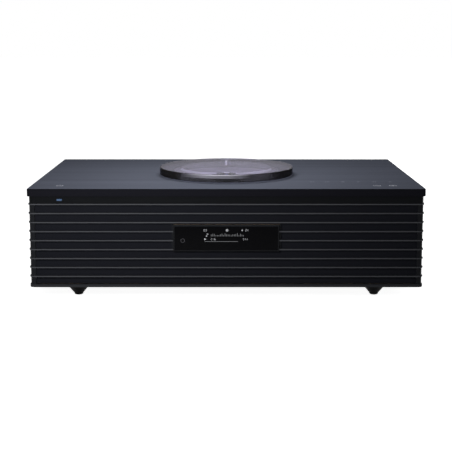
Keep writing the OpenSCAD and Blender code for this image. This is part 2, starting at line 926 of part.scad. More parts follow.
// Screw-on aerial socket with a hexagonal nut behind its barrel.
module aerial_socket()
    color([0.75, 0.74, 0.7])
        on_rear(aerial_x, z_rear)
            difference() {
                union() {
                    cylinder(h = aerial_len, r = aerial_r, $fn = 64);
                    translate([0, 0, -12])
                        cylinder(h = 12 + join, r = aerial_neck, $fn = 64);
                    translate([0, 0, -rear_t - 4])
                        cylinder(h = 4, r = 7, $fn = 6);
                    translate([0, 0, -16])
                        cylinder(h = 5, r = 1, $fn = 24);
                }
                translate([0, 0, aerial_len - 5])
                    cylinder(h = 6, r = 2.9, $fn = 48);
                translate([0, 0, aerial_len - 9])
                    cylinder(h = 6, r = 0.9, $fn = 24);
            }

// Circuit board with four standoffs under its corners.
module bare_board(x)
    union() {
        block(x, [board_front, board_rear], [z_pcb - pcb_t, z_pcb]);
        for (px = [x[0] + 5, x[1] - 5], py = [board_front + 5, board_rear - 5])
            translate([px, py, z_floor])
                cylinder(h = standoff_h + pcb_t / 2, r = 3, $fn = 32);
    }

// Main board with its processor, chips and capacitors.
module main_board() {
    y_parts = board_front + 8;
    can_r = 5;
    can_h = 14;
    can_pitch = 14;
    can_y = y_parts + 20;
    color([0.1, 0.3, 0.18])
        union() {
            bare_board(main_x);
            block([main_x[0] + 8, main_x[0] + 24], [y_parts + 20, y_parts + 36], [z_pcb - join, z_pcb + 2]);
            block([main_x[0] + 6, main_x[0] + 18], [y_parts + 2, y_parts + 12], [z_pcb - join, z_pcb + 1.6]);
            block([main_x[1] - 22, main_x[1] - 6], [y_parts + 30, y_parts + 40], [z_pcb - join, z_pcb + 2.4]);
            for (i = [0:3])
                translate([main_x[1] - 2 * can_r - can_pitch * i, can_y, z_pcb - join])
                    cylinder(h = can_h + join, r = can_r, $fn = 32);
        }
}

// Power board with a transformer and three storage capacitors.
module power_board() {
    x = power_board_x;
    store_r = 9;
    store_h = 26;
    store_edge = store_r + 1.5;
    store_pitch = (board_rear - board_front - 2 * store_edge) / 2;
    core_in = 6;
    core_w = 28;
    core_h = 24;
    core_x = [x[0] + core_in, x[0] + core_in + core_w];
    coil_in = 4;
    coil_h = 16;
    core_y = [board_front + 10, board_front + 40];
    color([0.45, 0.33, 0.12])
        union() {
            bare_board(x);
            block(core_x, core_y, [z_pcb - join, z_pcb + core_h]);
            block([core_x[0] + coil_in, core_x[1] - coil_in], [core_y[0] - coil_in, core_y[1] + coil_in],
                [z_pcb - join, z_pcb + coil_h]);
            for (i = [0:2])
                translate([x[1] - store_edge, board_front + store_edge + store_pitch * i, z_pcb - join])
                    cylinder(h = store_h + join, r = store_r, $fn = 48);
        }
}

// Finned heat sink that stands on the main board.
module heat_sink() {
    color([0.55, 0.56, 0.58])
        translate([main_x[0] + sink_side, board_front + sink_front, z_pcb])
            union() {
                cube([sink_len, sink_wall, sink_h]);
                for (i = [0:sink_gaps])
                    translate([i * (sink_len - sink_fin) / sink_gaps, sink_wall - join, 0])
                        cube([sink_fin, sink_reach + join, sink_h]);
            }
}

// Pressed basket of a loudspeaker. Its flange's front face is at Z = 0 and the sound goes to +Z.
module basket(flange, cut, coil, depth, magnet, stand, screw_ring) {
    back_r = magnet - cage_step;
    shell = cage_shell;
    lip = cut - cage_lip;
    inner = coil + cage_in;
    rim_z = flange_t + rim_drop;
    color([0.28, 0.28, 0.29])
        difference() {
            union() {
                translate([0, 0, -flange_t])
                    rotate_extrude()
                        translate([cut, 0])
                            square([flange - cut, flange_t + stand]);
                rotate_extrude()
                    polygon([[lip, -rim_z], [lip, -flange_t], [cut + shell, -flange_t],
                        [cut + shell, -rim_z], [back_r + shell, -depth], [back_r + shell, -depth - cage_t],
                        [inner, -depth - cage_t], [inner, -depth], [back_r, -depth], [cut, -rim_z]]);
            }
            for (a = [0:60:300])
                rotate(a)
                    translate([coil + window_in, -0.26 * cut, window_low - depth])
                        cube([flange, 0.52 * cut, depth - flange_t - window_low - window_high]);
            for (a = [45:90:315])
                rotate(a)
                    translate([screw_ring, 0, -flange_t - 1])
                        cylinder(h = flange_t + stand + 2, r = screw_r + run_gap, $fn = 32);
        }
}

// Magnet and pole pieces behind a basket, with the ring gap for the coil.
module magnet_system(coil, depth, magnet) {
    gap = 0.9;
    plate = 4;
    top = -depth - cage_t;
    low = top - magnet_h;
    vent = 3;
    color([0.16, 0.16, 0.17])
        rotate_extrude()
            polygon([[vent, low], [magnet - 3, low], [magnet - 3, low + plate], [magnet, low + plate],
                [magnet, top - plate], [magnet - 3, top - plate], [magnet - 3, top], [coil + gap, top],
                [coil + gap, low + plate], [coil - gap, low + plate], [coil - gap, top], [vent, top]]);
}

// Cone with its rim, dust cap and coil former.
module cone(cut, coil, depth, roll) {
    rim = cut - roll;
    neck = neck_up - depth;
    paper = paper_t;
    former_low = -depth - former_len;
    cap = coil * 0.45;
    color([0.09, 0.09, 0.1])
        union() {
            rotate_extrude()
                polygon([[rim + 1.3, -flange_t - paper], [rim + 1.3, -flange_t], [rim - 1, -flange_t],
                    [coil - 0.4, neck + paper], [coil - 0.4, former_low], [coil + 0.4, former_low],
                    [coil + 0.4, neck], [rim - 0.4, -flange_t - paper]]);
            rotate_extrude()
                polygon([[0, neck + paper + cap], [coil * 0.5, neck + paper + cap * 0.78],
                    [coil * 0.85, neck + paper + cap * 0.3], [coil, neck + paper - 0.2], [coil, neck],
                    [coil * 0.8, neck + cap * 0.3], [coil * 0.45, neck + cap * 0.78], [0, neck + cap]]);
        }
}

// Half-roll surround in front and corrugated centring ring behind.
module suspension(cut, coil, depth, magnet, roll) {
    skin = skin_t;
    back_r = magnet - cage_step;
    ring_z = ring_up - depth;
    slope = (cut - back_r) / (depth - flange_t - rim_drop);
    ring_out = back_r + slope * 2.4 - 0.1;
    ring_in = coil + 0.5;
    waves = 8;
    wave_h = 1.2;
    cloth = 0.6;
    function wave(i) = [ring_in + (ring_out - ring_in) * i / waves, ring_z + (i % 2) * wave_h];
    color([0.06, 0.06, 0.06]) {
        rotate_extrude()
            translate([cut - roll / 2, -flange_t])
                polygon(concat(arc_points([0, 0], roll / 2, 0, 180, 14),
                    arc_points([0, 0], roll / 2 - skin, 180, 0, 14)));
        rotate_extrude()
            polygon(concat(
                [for (i = [0:waves]) wave(i)],
                [for (i = [waves:-1:0]) wave(i) - [0, cloth]]));
    }
}

// Children facing the floor on the base plate, at the subwoofer's axis.
module on_base()
    translate([0, y_sub, z_floor + sub_stand])
        rotate([180, 0, 0])
            children();

module woofer_baskets()
    for (s = [-1, 1])
        on_baffle(s * x_chamber)
            basket(woofer_flange, woofer_cut, woofer_coil, woofer_depth, woofer_magnet, 0, woofer_screw_r);

module woofer_magnets()
    for (s = [-1, 1])
        on_baffle(s * x_chamber)
            magnet_system(woofer_coil, woofer_depth, woofer_magnet);

module left_woofer_cone()
    on_baffle(-x_chamber)
        cone(woofer_cut, woofer_coil, woofer_depth, woofer_roll);

module right_woofer_cone()
    on_baffle(x_chamber)
        cone(woofer_cut, woofer_coil, woofer_depth, woofer_roll);

module left_woofer_suspension()
    on_baffle(-x_chamber)
        suspension(woofer_cut, woofer_coil, woofer_depth, woofer_magnet, woofer_roll);

module right_woofer_suspension()
    on_baffle(x_chamber)
        suspension(woofer_cut, woofer_coil, woofer_depth, woofer_magnet, woofer_roll);

module subwoofer_basket()
    on_base()
        basket(sub_flange, sub_cut, sub_coil, sub_depth, sub_magnet, sub_stand, sub_screw_r);

module subwoofer_magnet()
    on_base()
        magnet_system(sub_coil, sub_depth, sub_magnet);

module subwoofer_cone()
    on_base()
        cone(sub_cut, sub_coil, sub_depth, sub_roll);

module subwoofer_suspension()
    on_base()
        suspension(sub_cut, sub_coil, sub_depth, sub_magnet, sub_roll);

// Tweeter bodies behind the baffle.
module tweeter_bodies()
    color([0.2, 0.2, 0.21])
        for (s = [-1, 1])
            on_baffle(s * tweeter_x)
                rotate_extrude()
                    polygon([[dome_r + 0.5, 0], [tweeter_r, 0], [tweeter_r, -3], [tweeter_r - 1.5, -3],
                        [tweeter_r - 1.5, -17], [0, -17], [0, -7], [dome_r + 0.5, -7]]);

// Domed diaphragm of a tweeter.
module tweeter_dome() {
    rise = 3.4;
    ball = (dome_r * dome_r + rise * rise) / (2 * rise);
    half = asin(dome_r / ball);
    skin = 0.7;
    color([0.5, 0.5, 0.52])
        translate([0, 0, -5])
            rotate_extrude()
                polygon(concat([[dome_r, -0.8]],
                    arc_points([0, rise - ball], ball, 90 - half, 90, 10),
                    arc_points([0, rise - ball], ball - skin, 90, 90 - half + 4, 10),
                    [[dome_r - 1, -0.8]]));
}

module left_tweeter_dome()
    on_baffle(-tweeter_x)
        tweeter_dome();

module right_tweeter_dome()
    on_baffle(tweeter_x)
        tweeter_dome();

// Bass ports with flared mouths in the back board.
module port_ducts() {
    flare = 7;
    flange = 2.5;
    wall = 2;
    color([0.08, 0.08, 0.085])
        for (s = [-1, 1])
            translate([s * x_chamber, y_back + flange, z_mid])
                rotate([-90, 0, 0])
                    rotate_extrude($fn = 96)
                        polygon(concat([[port_r, -port_len], [port_r + wall, -port_len], [port_r + wall, -14],
                            [port_r + port_seat, -14], [port_r + port_seat, -flange], [port_r + 12, -flange],
                            [port_r + 12, -0.6], [port_r + 11.4, 0]],
                            arc_points([port_r + flare, -flare], flare, 90, 180, 10)));
}

// Steel plate of the drive, with posts for the rods and the gear's axle.
module drive_chassis()
    color([0.6, 0.61, 0.63])
        at_drive()
            difference() {
                union() {
                    block(chassis_x, [-chassis_y, chassis_y], [z_chassis - chassis_t, z_chassis]);
                    for (px = [0, chassis_x[1] - 4], sy = [-1, 1])
                        block([px - 3, px + 3], [sy * rod_y - 3.5, sy * rod_y + 3.5],
                            [z_chassis - join, rod_z + rod_r + 2]);
                    translate([wheel_x, wheel_y, z_chassis - join]) {
                        cylinder(h = 2 + join, r = 3, $fn = 32);
                        cylinder(h = 13 + join, r = axle_r, $fn = 32);
                    }
                }
                translate([0, 0, z_chassis - chassis_t - 1])
                    cylinder(h = chassis_t + 2, r = can_boss_r + fit_gap);
                translate([motor_x, wheel_y, z_chassis - chassis_t - 1])
                    cylinder(h = chassis_t + 2, r = sled_boss_r + fit_gap, $fn = 32);
                block([track_r - 10, track_r + sled_travel + 12], [-13, 13],
                    [z_chassis - chassis_t - 1, z_chassis + 1]);
                at_bosses()
                    translate([0, 0, z_chassis - chassis_t - 1])
                        cylinder(h = chassis_t + 2, r = damper_r + run_gap, $fn = 48);
                for (sy = [-1, 1])
                    translate([-10, sy * rod_y, rod_z])
                        rotate([0, 90, 0])
                            cylinder(h = 120, r = rod_r, $fn = 32);
            }

// Rubber spools that hold the chassis.
module damper_bushes() {
    inner = boss_screw_r + 2 * run_gap;
    edge = 0.6;
    color([0.04, 0.04, 0.04])
        at_drive()
            at_bosses()
                translate([0, 0, z_boss - damper_h])
                    rotate_extrude($fn = 48)
                        polygon([[inner, 0], [damper_rim - edge, 0], [damper_rim, edge],
                            [damper_rim, damper_lip], [damper_r, damper_lip],
                            [damper_r, damper_lip + chassis_t], [damper_rim, damper_lip + chassis_t],
                            [damper_rim, damper_h - edge],
                            [damper_rim - edge, damper_h], [inner, damper_h]]);
}

// Shoulder screws through the spools into the well's posts.
module chassis_screws()
    color([0.62, 0.63, 0.65])
        at_drive()
            at_bosses()
                translate([0, 0, z_boss - damper_h])
                    difference() {
                        union() {
                            cylinder(h = damper_h + 8, r = boss_screw_r, $fn = 32);
                            translate([0, 0, -2])
                                cylinder(h = 2, r = 5, $fn = 48);
                        }
                        for (a = [0, 90])
                            rotate(a)
                                translate([-2, -0.45, -3])
                                    cube([4, 0.9, 2.2]);
                    }

// Can of the spindle motor, hung under the chassis.
module spindle_motor() {
    low = z_chassis - chassis_t - spindle_can_h;
    color([0.66, 0.67, 0.69])
        at_disc()
            rotate_extrude()
                polygon([[0, low], [spindle_can_r - 1, low], [spindle_can_r, low + 1],
                    [spindle_can_r, z_chassis - chassis_t], [can_boss_r, z_chassis - chassis_t],
                    [can_boss_r, z_chassis + 2], [spindle_r + run_gap, z_chassis + 2],
                    [spindle_r + run_gap, low + 1], [0, low + 1]]);
}

// Steel shaft that turns the hub.
module spindle_shaft() {
    low = z_chassis - chassis_t - spindle_can_h + 1.3;
    color([0.8, 0.8, 0.82])
        at_disc()
            translate([0, 0, low])
                cylinder(h = z_disc - low, r = spindle_r, $fn = 32);
}

// Hub: platform for the disc and domed nose through its hole.
module turntable() {
    nose_z = z_disc + nose_straight;
    dome = z_top + nose_over;
    color([0.75, 0.76, 0.78])
        at_disc()
            rotate_extrude($fn = 96)
                polygon(concat([[0, z_disc], [spindle_r, z_disc], [spindle_r, z_chassis + 3],
                    [hub_boss_r, z_chassis + 3], [hub_boss_r, z_platform - platform_t - 2],
                    [hub_boss_r + 2, z_platform - platform_t], [hub_r, z_platform - platform_t],
                    [hub_r, z_platform], [hub_step_r, z_platform], [hub_step_r, z_disc], [nose_r, z_disc]],
                    [for (i = [0:9]) let(a = 10 * i)
                        [nose_r * cos(a), nose_z + (dome - nose_z) * sin(a)]]));
}

// Rubber mat under the disc's clamping ring.
module hub_mat()
    color([0.05, 0.05, 0.055])
        at_disc()
            translate([0, 0, z_platform])
                rotate_extrude($fn = 96)
                    polygon([[hub_step_r + run_gap, 0], [hub_r - 0.3, 0], [hub_r - 0.3, mat_t],
                        [hub_step_r + run_gap, mat_t]]);

// Steel rods that guide the pickup.
module guide_rods()
    color([0.8, 0.8, 0.82])
        at_drive()
            for (sy = [-1, 1])
                translate([-5, sy * rod_y, rod_z])
                    rotate([0, 90, 0])
                        cylinder(h = chassis_x[1] + 4, r = rod_r, $fn = 32);

// Trapezoid rack teeth along X on a bar's front face, with a gap at the small pinion.
module rack_outline(x0, x1) {
    half = tooth_pitch / 4 - backlash / 2;
    add = 0.75 * gear_m;
    ded = gear_m;
    lean = tan(25);
    first = ceil((x0 + 2 - wheel_x) / tooth_pitch - 0.5);
    last = floor((x1 - 2 - wheel_x) / tooth_pitch - 0.5);
    polygon(concat([[x1, rack_y + 5], [x0, rack_y + 5], [x0, rack_y + ded]],
        [for (k = [first:last], p = [0:3]) let(c = wheel_x + (k + 0.5) * tooth_pitch)
            p == 0 ? [c - half - ded * lean, rack_y + ded] :
            p == 1 ? [c - half + add * lean, rack_y - add] :
            p == 2 ? [c + half - add * lean, rack_y - add] :
            [c + half + ded * lean, rack_y + ded]],
        [[x1, rack_y + ded]]));
}

// Pickup sled at the innermost track: cast body, rod bushes, fork, rack and lens yokes.
module pickup_sled() {
    x0 = track_r - sled_len / 2;
    x1 = track_r + sled_len / 2;
    rack_x0 = wheel_x - sled_travel - 5;
    rack_x1 = max(wheel_x + 5, x1);
    bush_r = rod_r + 2;
    yoke = 2.4;
    yoke_top = z_flange - move_gap;
    yoke_x = holder_len / 2 + move_gap + yoke / 2;
    color([0.16, 0.16, 0.17])
        at_drive()
            difference() {
                union() {
                    block([x0, x1], [-sled_half, sled_half], [sled_low, sled_top]);
                    for (bx = [[x0, x0 + 6], [x1 - 6, x1]]) {
                        translate([bx[0], rod_y, rod_z])
                            rotate([0, 90, 0])
                                cylinder(h = bx[1] - bx[0], r = bush_r, $fn = 48);
                        block(bx, [sled_half - join, rod_y], [rod_z - 2.4, rod_z + 2.4]);
                    }
                    block([x0 + 6, x1 - 6], [-rod_y - bush_r, join - sled_half],
                        [rod_z - bush_r + 0.8, rod_z + bush_r - 0.4]);
                    block([x0 + 2, x1 - 2], [rack_y + 4, join - sled_half], [sled_top - rack_t, sled_top]);
                    translate([0, 0, sled_top - rack_t])
                        linear_extrude(rack_t)
                            rack_outline(rack_x0, rack_x1);
                    for (s = [-1, 1])
                        block([track_r + s * yoke_x - yoke / 2, track_r + s * yoke_x + yoke / 2],
                            [-holder_w / 2, holder_w / 2], [sled_top - join, yoke_top]);
                }
                translate([x0 - 1, rod_y, rod_z])
                    rotate([0, 90, 0])
                        cylinder(h = sled_len + 2, r = rod_r + run_gap, $fn = 32);
                block([x0, x1], [-rod_y - bush_r - 1, -rod_y + rod_r + 0.3],
                    [rod_z - rod_r - 2 * run_gap, rod_z + rod_r + 2 * run_gap]);
                translate([track_r, 0, sled_low - 1])
                    cylinder(h = 20, r = 3, $fn = 32);
            }
}

// Lens holder that floats between the sled's yokes.
module lens_holder()
    color([0.1, 0.1, 0.1])
        at_drive()
            difference() {
                union() {
                    block([track_r - holder_len / 2, track_r + holder_len / 2], [-holder_w / 2, holder_w / 2],
                        [holder_low, holder_top - 1.6]);
                    translate([track_r, 0, holder_top - 1.6 - join])
                        cylinder(h = 1.6 + join, r = holder_len / 2 - 0.3, $fn = 48);
                }
                translate([track_r, 0, holder_low - 1])
                    cylinder(h = 20, r = 1.9, $fn = 32);
                translate([track_r, 0, holder_top - lens_seat])
                    cylinder(h = 20, r = lens_r, $fn = 48);
            }

// Objective lens, seated in its holder.
module objective_lens() {
    ball = (lens_r * lens_r + lens_crown * lens_crown) / (2 * lens_crown);
    half = asin(lens_r / ball);
    color([0.3, 0.4, 0.7])
        at_drive()
            translate([track_r, 0, holder_top])
                rotate_extrude($fn = 48)
                    polygon(concat([[0, -lens_seat], [lens_r, -lens_seat]],
                        arc_points([0, lens_crown - ball], ball, 90 - half, 90, 8)));
}

// Sled motor under the chassis.
module sled_motor() {
    low = z_chassis - chassis_t - sled_can_h;
    color([0.66, 0.67, 0.69])
        at_drive()
            translate([motor_x, wheel_y, 0])
                rotate_extrude($fn = 48)
                    polygon([[0, low], [sled_can_r - 1, low], [sled_can_r, low + 1],
                        [sled_can_r, z_chassis - chassis_t], [sled_boss_r, z_chassis - chassis_t],
                        [sled_boss_r, z_chassis + 1], [spindle_r + run_gap, z_chassis + 1],
                        [spindle_r + run_gap, low + 1], [0, low + 1]]);
}

// Involute of an angle, in degrees.
function involute(a) = tan(a) * 180 / PI - a;

// Half the angle of a tooth at radius r, for a gear with the given pitch radius.
function tooth_half(r, pitch_r, teeth) =
    let(base_r = pitch_r * cos(25), at = acos(base_r / max(r, base_r)))
    90 / teeth - backlash / 2 / pitch_r * 180 / PI + involute(25) - involute(at);

// Gear outline with its first tooth on the X axis.
module gear_outline(teeth) {
    pitch_r = gear_m * teeth / 2;
    root_r = pitch_r - gear_m;
    tip_r = pitch_r + 0.75 * gear_m;
    levels = [root_r, pitch_r - 0.4 * gear_m, pitch_r, tip_r];
    polygon([for (k = [0:teeth - 1], i = [0:7])
        let(r = levels[i < 4 ? i : 7 - i], side = i < 4 ? -1 : 1,
            a = 360 * k / teeth + side * tooth_half(r, pitch_r, teeth))
        r * [cos(a), sin(a)]]);
}

// Brass pinion with its shaft in the sled motor.
module motor_pinion() {
    low = z_chassis - chassis_t - sled_can_h + 1.3;
    color([0.75, 0.6, 0.3])
        at_drive()
            translate([motor_x, wheel_y, 0])
                union() {
                    translate([0, 0, low])
                        cylinder(h = wheel_low + wheel_t - low, r = spindle_r, $fn = 32);
                    translate([0, 0, wheel_low - 0.5])
                        linear_extrude(wheel_t + 1)
                            rotate(180 / motor_teeth)
                                gear_outline(motor_teeth);
                }
}

// Compound gear: large wheel driven by the motor, small pinion in the rack.
module sled_gear() {
    small_top = sled_top + 0.5;
    color([0.85, 0.85, 0.8])
        at_drive()
            translate([wheel_x, wheel_y, 0])
                difference() {
                    union() {
                        translate([0, 0, wheel_low])
                            linear_extrude(wheel_t)
                                rotate(180)
                                    gear_outline(wheel_teeth);
                        translate([0, 0, wheel_low + wheel_t - join])
                            linear_extrude(small_top - wheel_low - wheel_t + join)
                                rotate(90)
                                    gear_outline(step_teeth);
                    }
                    translate([0, 0, wheel_low - 1])
                        cylinder(h = small_top - wheel_low + 2, r = axle_r + run_gap, $fn = 32);
                }
}

// Smoked acrylic lid: a thick round cap, hollow over the disc, with a blind bore for the pivot's collar.
module disc_lid() {
    lid_r = lid_d / 2;
    round_r = 1.2;
    color([0.4, 0.4, 0.43, 0.5])
        translate([0, y_disc, z_lid])
            difference() {
                rotate_extrude($fn = 180)
                    polygon(concat([[0, lid_t - lid_roof], [pocket_r - 1, lid_t - lid_roof],
                        [pocket_r, lid_t - lid_roof - 1], [pocket_r, 0.4], [pocket_r + 0.4, 0],
                        [lid_r - 0.6, 0], [lid_r, 0.6]],
                        arc_points([lid_r - round_r, lid_t - round_r], round_r, 0, 90, 6), [[0, lid_t]]));
                translate([0, pivot_reach, -1])
                    cylinder(h = 1 + collar_h + fit_gap, r = collar_r + run_gap, $fn = 64);
            }
}

// Turned pivot: collar fixed in the lid, shaft down through the panel, groove for the clip.
module lid_pivot() {
    tail = z_under - pivot_tail;
    groove = [z_clip - 2 * run_gap, z_clip + clip_t + 2 * run_gap];
    edge = 0.5;
    color([0.72, 0.72, 0.74])
        at_pivot()
            rotate_extrude($fn = 64)
                polygon([[0, tail], [pivot_r - edge, tail], [pivot_r, tail + edge], [pivot_r, groove[0]],
                    [pivot_r - groove_d, groove[0]], [pivot_r - groove_d, groove[1]], [pivot_r, groove[1]],
                    [pivot_r, z_lid], [collar_r, z_lid], [collar_r, z_lid + collar_h - edge],
                    [collar_r - edge, z_lid + collar_h], [0, z_lid + collar_h]]);
}

// Flanged bearing of the pivot, pressed into the top panel.
module pivot_bush() {
    flange_r = collar_r + 0.6;
    color([0.62, 0.52, 0.3])
        at_pivot()
            rotate_extrude($fn = 64)
                polygon([[pivot_r + run_gap, z_under - 3], [pivot_r + bush_wall, z_under - 3],
                    [pivot_r + bush_wall, z_top], [flange_r, z_top], [flange_r, z_top + bush_flange_t],
                    [pivot_r + run_gap, z_top + bush_flange_t]]);
}

// Spring clip in the pivot's groove.
module pivot_clip()
    color([0.3, 0.3, 0.31])
        at_pivot()
            translate([0, 0, z_clip])
                difference() {
                    cylinder(h = clip_t, r = 6.6, $fn = 48);
                    translate([0, 0, -1])
                        cylinder(h = clip_t + 2, r = pivot_r - groove_d + run_gap, $fn = 48);
                    translate([-2.2, 0, -1])
                        cube([4.4, 10, clip_t + 2]);
                }

top_panel();
disc_well();
louvre_grille();
grille_cloth();
front_baffle();
side_boards();
divider_boards();
back_board();
base_plate();
feet();
foot_pads();
rear_panel();
display_bezel();
display_window();
display_module();
remote_sensor();
status_light();
touch_boards();
mains_inlet();
network_socket();
usb_socket();
optical_socket();
audio_jack();
aerial_socket();
main_board();
power_board();
heat_sink();
woofer_baskets();
woofer_magnets();
left_woofer_cone();
right_woofer_cone();
left_woofer_suspension();
right_woofer_suspension();
tweeter_bodies();
left_tweeter_dome();
right_tweeter_dome();
subwoofer_basket();
subwoofer_magnet();
subwoofer_cone();
subwoofer_suspension();
port_ducts();
drive_chassis();
damper_bushes();
chassis_screws();
spindle_motor();
spindle_shaft();
turntable();
hub_mat();
guide_rods();
pickup_sled();
lens_holder();
objective_lens();
sled_motor();
motor_pinion();
sled_gear();
disc_lid();
lid_pivot();
pivot_bush();
pivot_clip();
cabinet_screws();
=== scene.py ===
"""Looks of a compact one-box music system: finishes, key marks, lit display, cloth, camera and light.

Metres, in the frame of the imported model: X to the right, Y from the front to the back, Z up.
"""
import json
import math

import bpy
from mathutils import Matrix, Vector


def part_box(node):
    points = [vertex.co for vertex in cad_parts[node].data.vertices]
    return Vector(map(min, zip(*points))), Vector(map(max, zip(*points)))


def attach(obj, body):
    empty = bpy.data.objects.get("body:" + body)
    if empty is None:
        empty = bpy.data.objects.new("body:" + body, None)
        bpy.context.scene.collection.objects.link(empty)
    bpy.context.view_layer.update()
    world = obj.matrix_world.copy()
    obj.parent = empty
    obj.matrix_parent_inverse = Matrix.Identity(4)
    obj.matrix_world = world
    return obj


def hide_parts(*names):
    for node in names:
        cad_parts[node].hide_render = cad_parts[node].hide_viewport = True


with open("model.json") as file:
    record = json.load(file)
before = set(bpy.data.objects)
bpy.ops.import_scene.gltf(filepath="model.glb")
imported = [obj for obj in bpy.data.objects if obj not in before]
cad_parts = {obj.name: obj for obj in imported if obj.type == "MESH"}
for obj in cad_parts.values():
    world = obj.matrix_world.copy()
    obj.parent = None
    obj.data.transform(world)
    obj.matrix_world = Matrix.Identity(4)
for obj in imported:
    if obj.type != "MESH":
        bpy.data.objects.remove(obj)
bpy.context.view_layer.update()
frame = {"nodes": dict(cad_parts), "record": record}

MM = 0.001

# Width and height of the photograph, in pixels
IMAGE_SIZE = 452

# Planes of the frame
PANEL_LOW, PANEL_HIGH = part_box("top_panel")
Y_FRONT = PANEL_LOW.y
Z_UNDER, Z_TOP = PANEL_LOW.z, PANEL_HIGH.z
BEZEL_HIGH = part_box("display_bezel")[1]
WINDOW_LOW, WINDOW_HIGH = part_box("display_window")
HUB_LOW, HUB_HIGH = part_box("turntable")
DISC_AXIS = (0.0, (HUB_LOW.y + HUB_HIGH.y) / 2)
SENSOR_LOW, SENSOR_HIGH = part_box("remote_sensor")
LID_LOW, LID_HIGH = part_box("disc_lid")
PIVOT_LOW, PIVOT_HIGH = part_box("lid_pivot")
PIVOT_AXIS = (0.0, (PIVOT_LOW.y + PIVOT_HIGH.y) / 2)

# Louvres, as the grille has them
RAIL_HEIGHT = 8.6 * MM
FIN_PITCH = 10.46 * MM
FIN_THICK = 1.4 * MM

# Thickness of the lid over its hollow, and the rounding of its upper edge
LID_ROOF = 3 * MM
LID_ROUND = 1.2 * MM

# Values that noise mostly takes, and the least roughness that it may bring about
NOISE_LOW, NOISE_HIGH = 0.3, 0.7
LEAST_ROUGHNESS = 0.02

# Share of a hairline's width in its length, as noise is stretched along it
HAIRLINE_STRETCH = 0.004

# A face is upright where the upward part of its normal is below this
UPRIGHT = 0.5

# How far a flat sign lies over the surface that carries it
SIGN_LIFT = 0.03 * MM

# Touch marks: distances from the front edge and from the middle of the panel
KEY_ROW_Y = Y_FRONT + 56.6 * MM
KEY_ROW_START = 101.2 * MM
KEY_ROW_PITCH = 18.55 * MM
KEY_PAIR_Y = Y_FRONT + 26.2 * MM
MINUS_X = 174.3 * MM
PLUS_X = 192.7 * MM
POWER_X = -192.5 * MM

# Soft lamps: name, place, target, width and height, power in watts
LAMPS = (
    ("key_lamp", (-0.15, -0.52, 0.25), (-0.15, -0.14, 0.08), (0.2, 0.16), 1.65),
    ("top_lamp", (-0.03, -0.07, 0.38), (-0.02, -0.02, 0.13), (0.2, 0.2), 1.08),
    ("back_lamp", (0.75, 1.2, 0.8), (0.1, 0.1, 0.08), (1.0, 0.8), 6),
    ("right_lamp", (1.2, 0.25, 0.09), (0.2, 0, 0.08), (0.6, 0.06), 2.5),
    ("left_lamp", (-1.2, 0.25, 0.09), (-0.2, 0, 0.08), (0.6, 0.06), 2.5),
)

# Strength of the even light; half the width of the floor, and its greys for the camera and for other light
SOFT_LIGHT = 0.15
FLOOR_HALF = 12.0
FLOOR_SHADE = 0.8
FLOOR_GLOW = 0.93
FLOOR_PAPER = 0.2


def srgb(red, green, blue):
    """Linear colour of an 8-bit display colour."""
    parts = []
    for value in (red, green, blue):
        share = value / 255
        parts.append(share / 12.92 if share <= 0.04045 else ((share + 0.055) / 1.055) ** 2.4)
    return (*parts, 1.0)


def scaled(color, factor):
    """A colour with its three parts multiplied."""
    return (*(min(part * factor, 1.0) for part in color[:3]), 1.0)


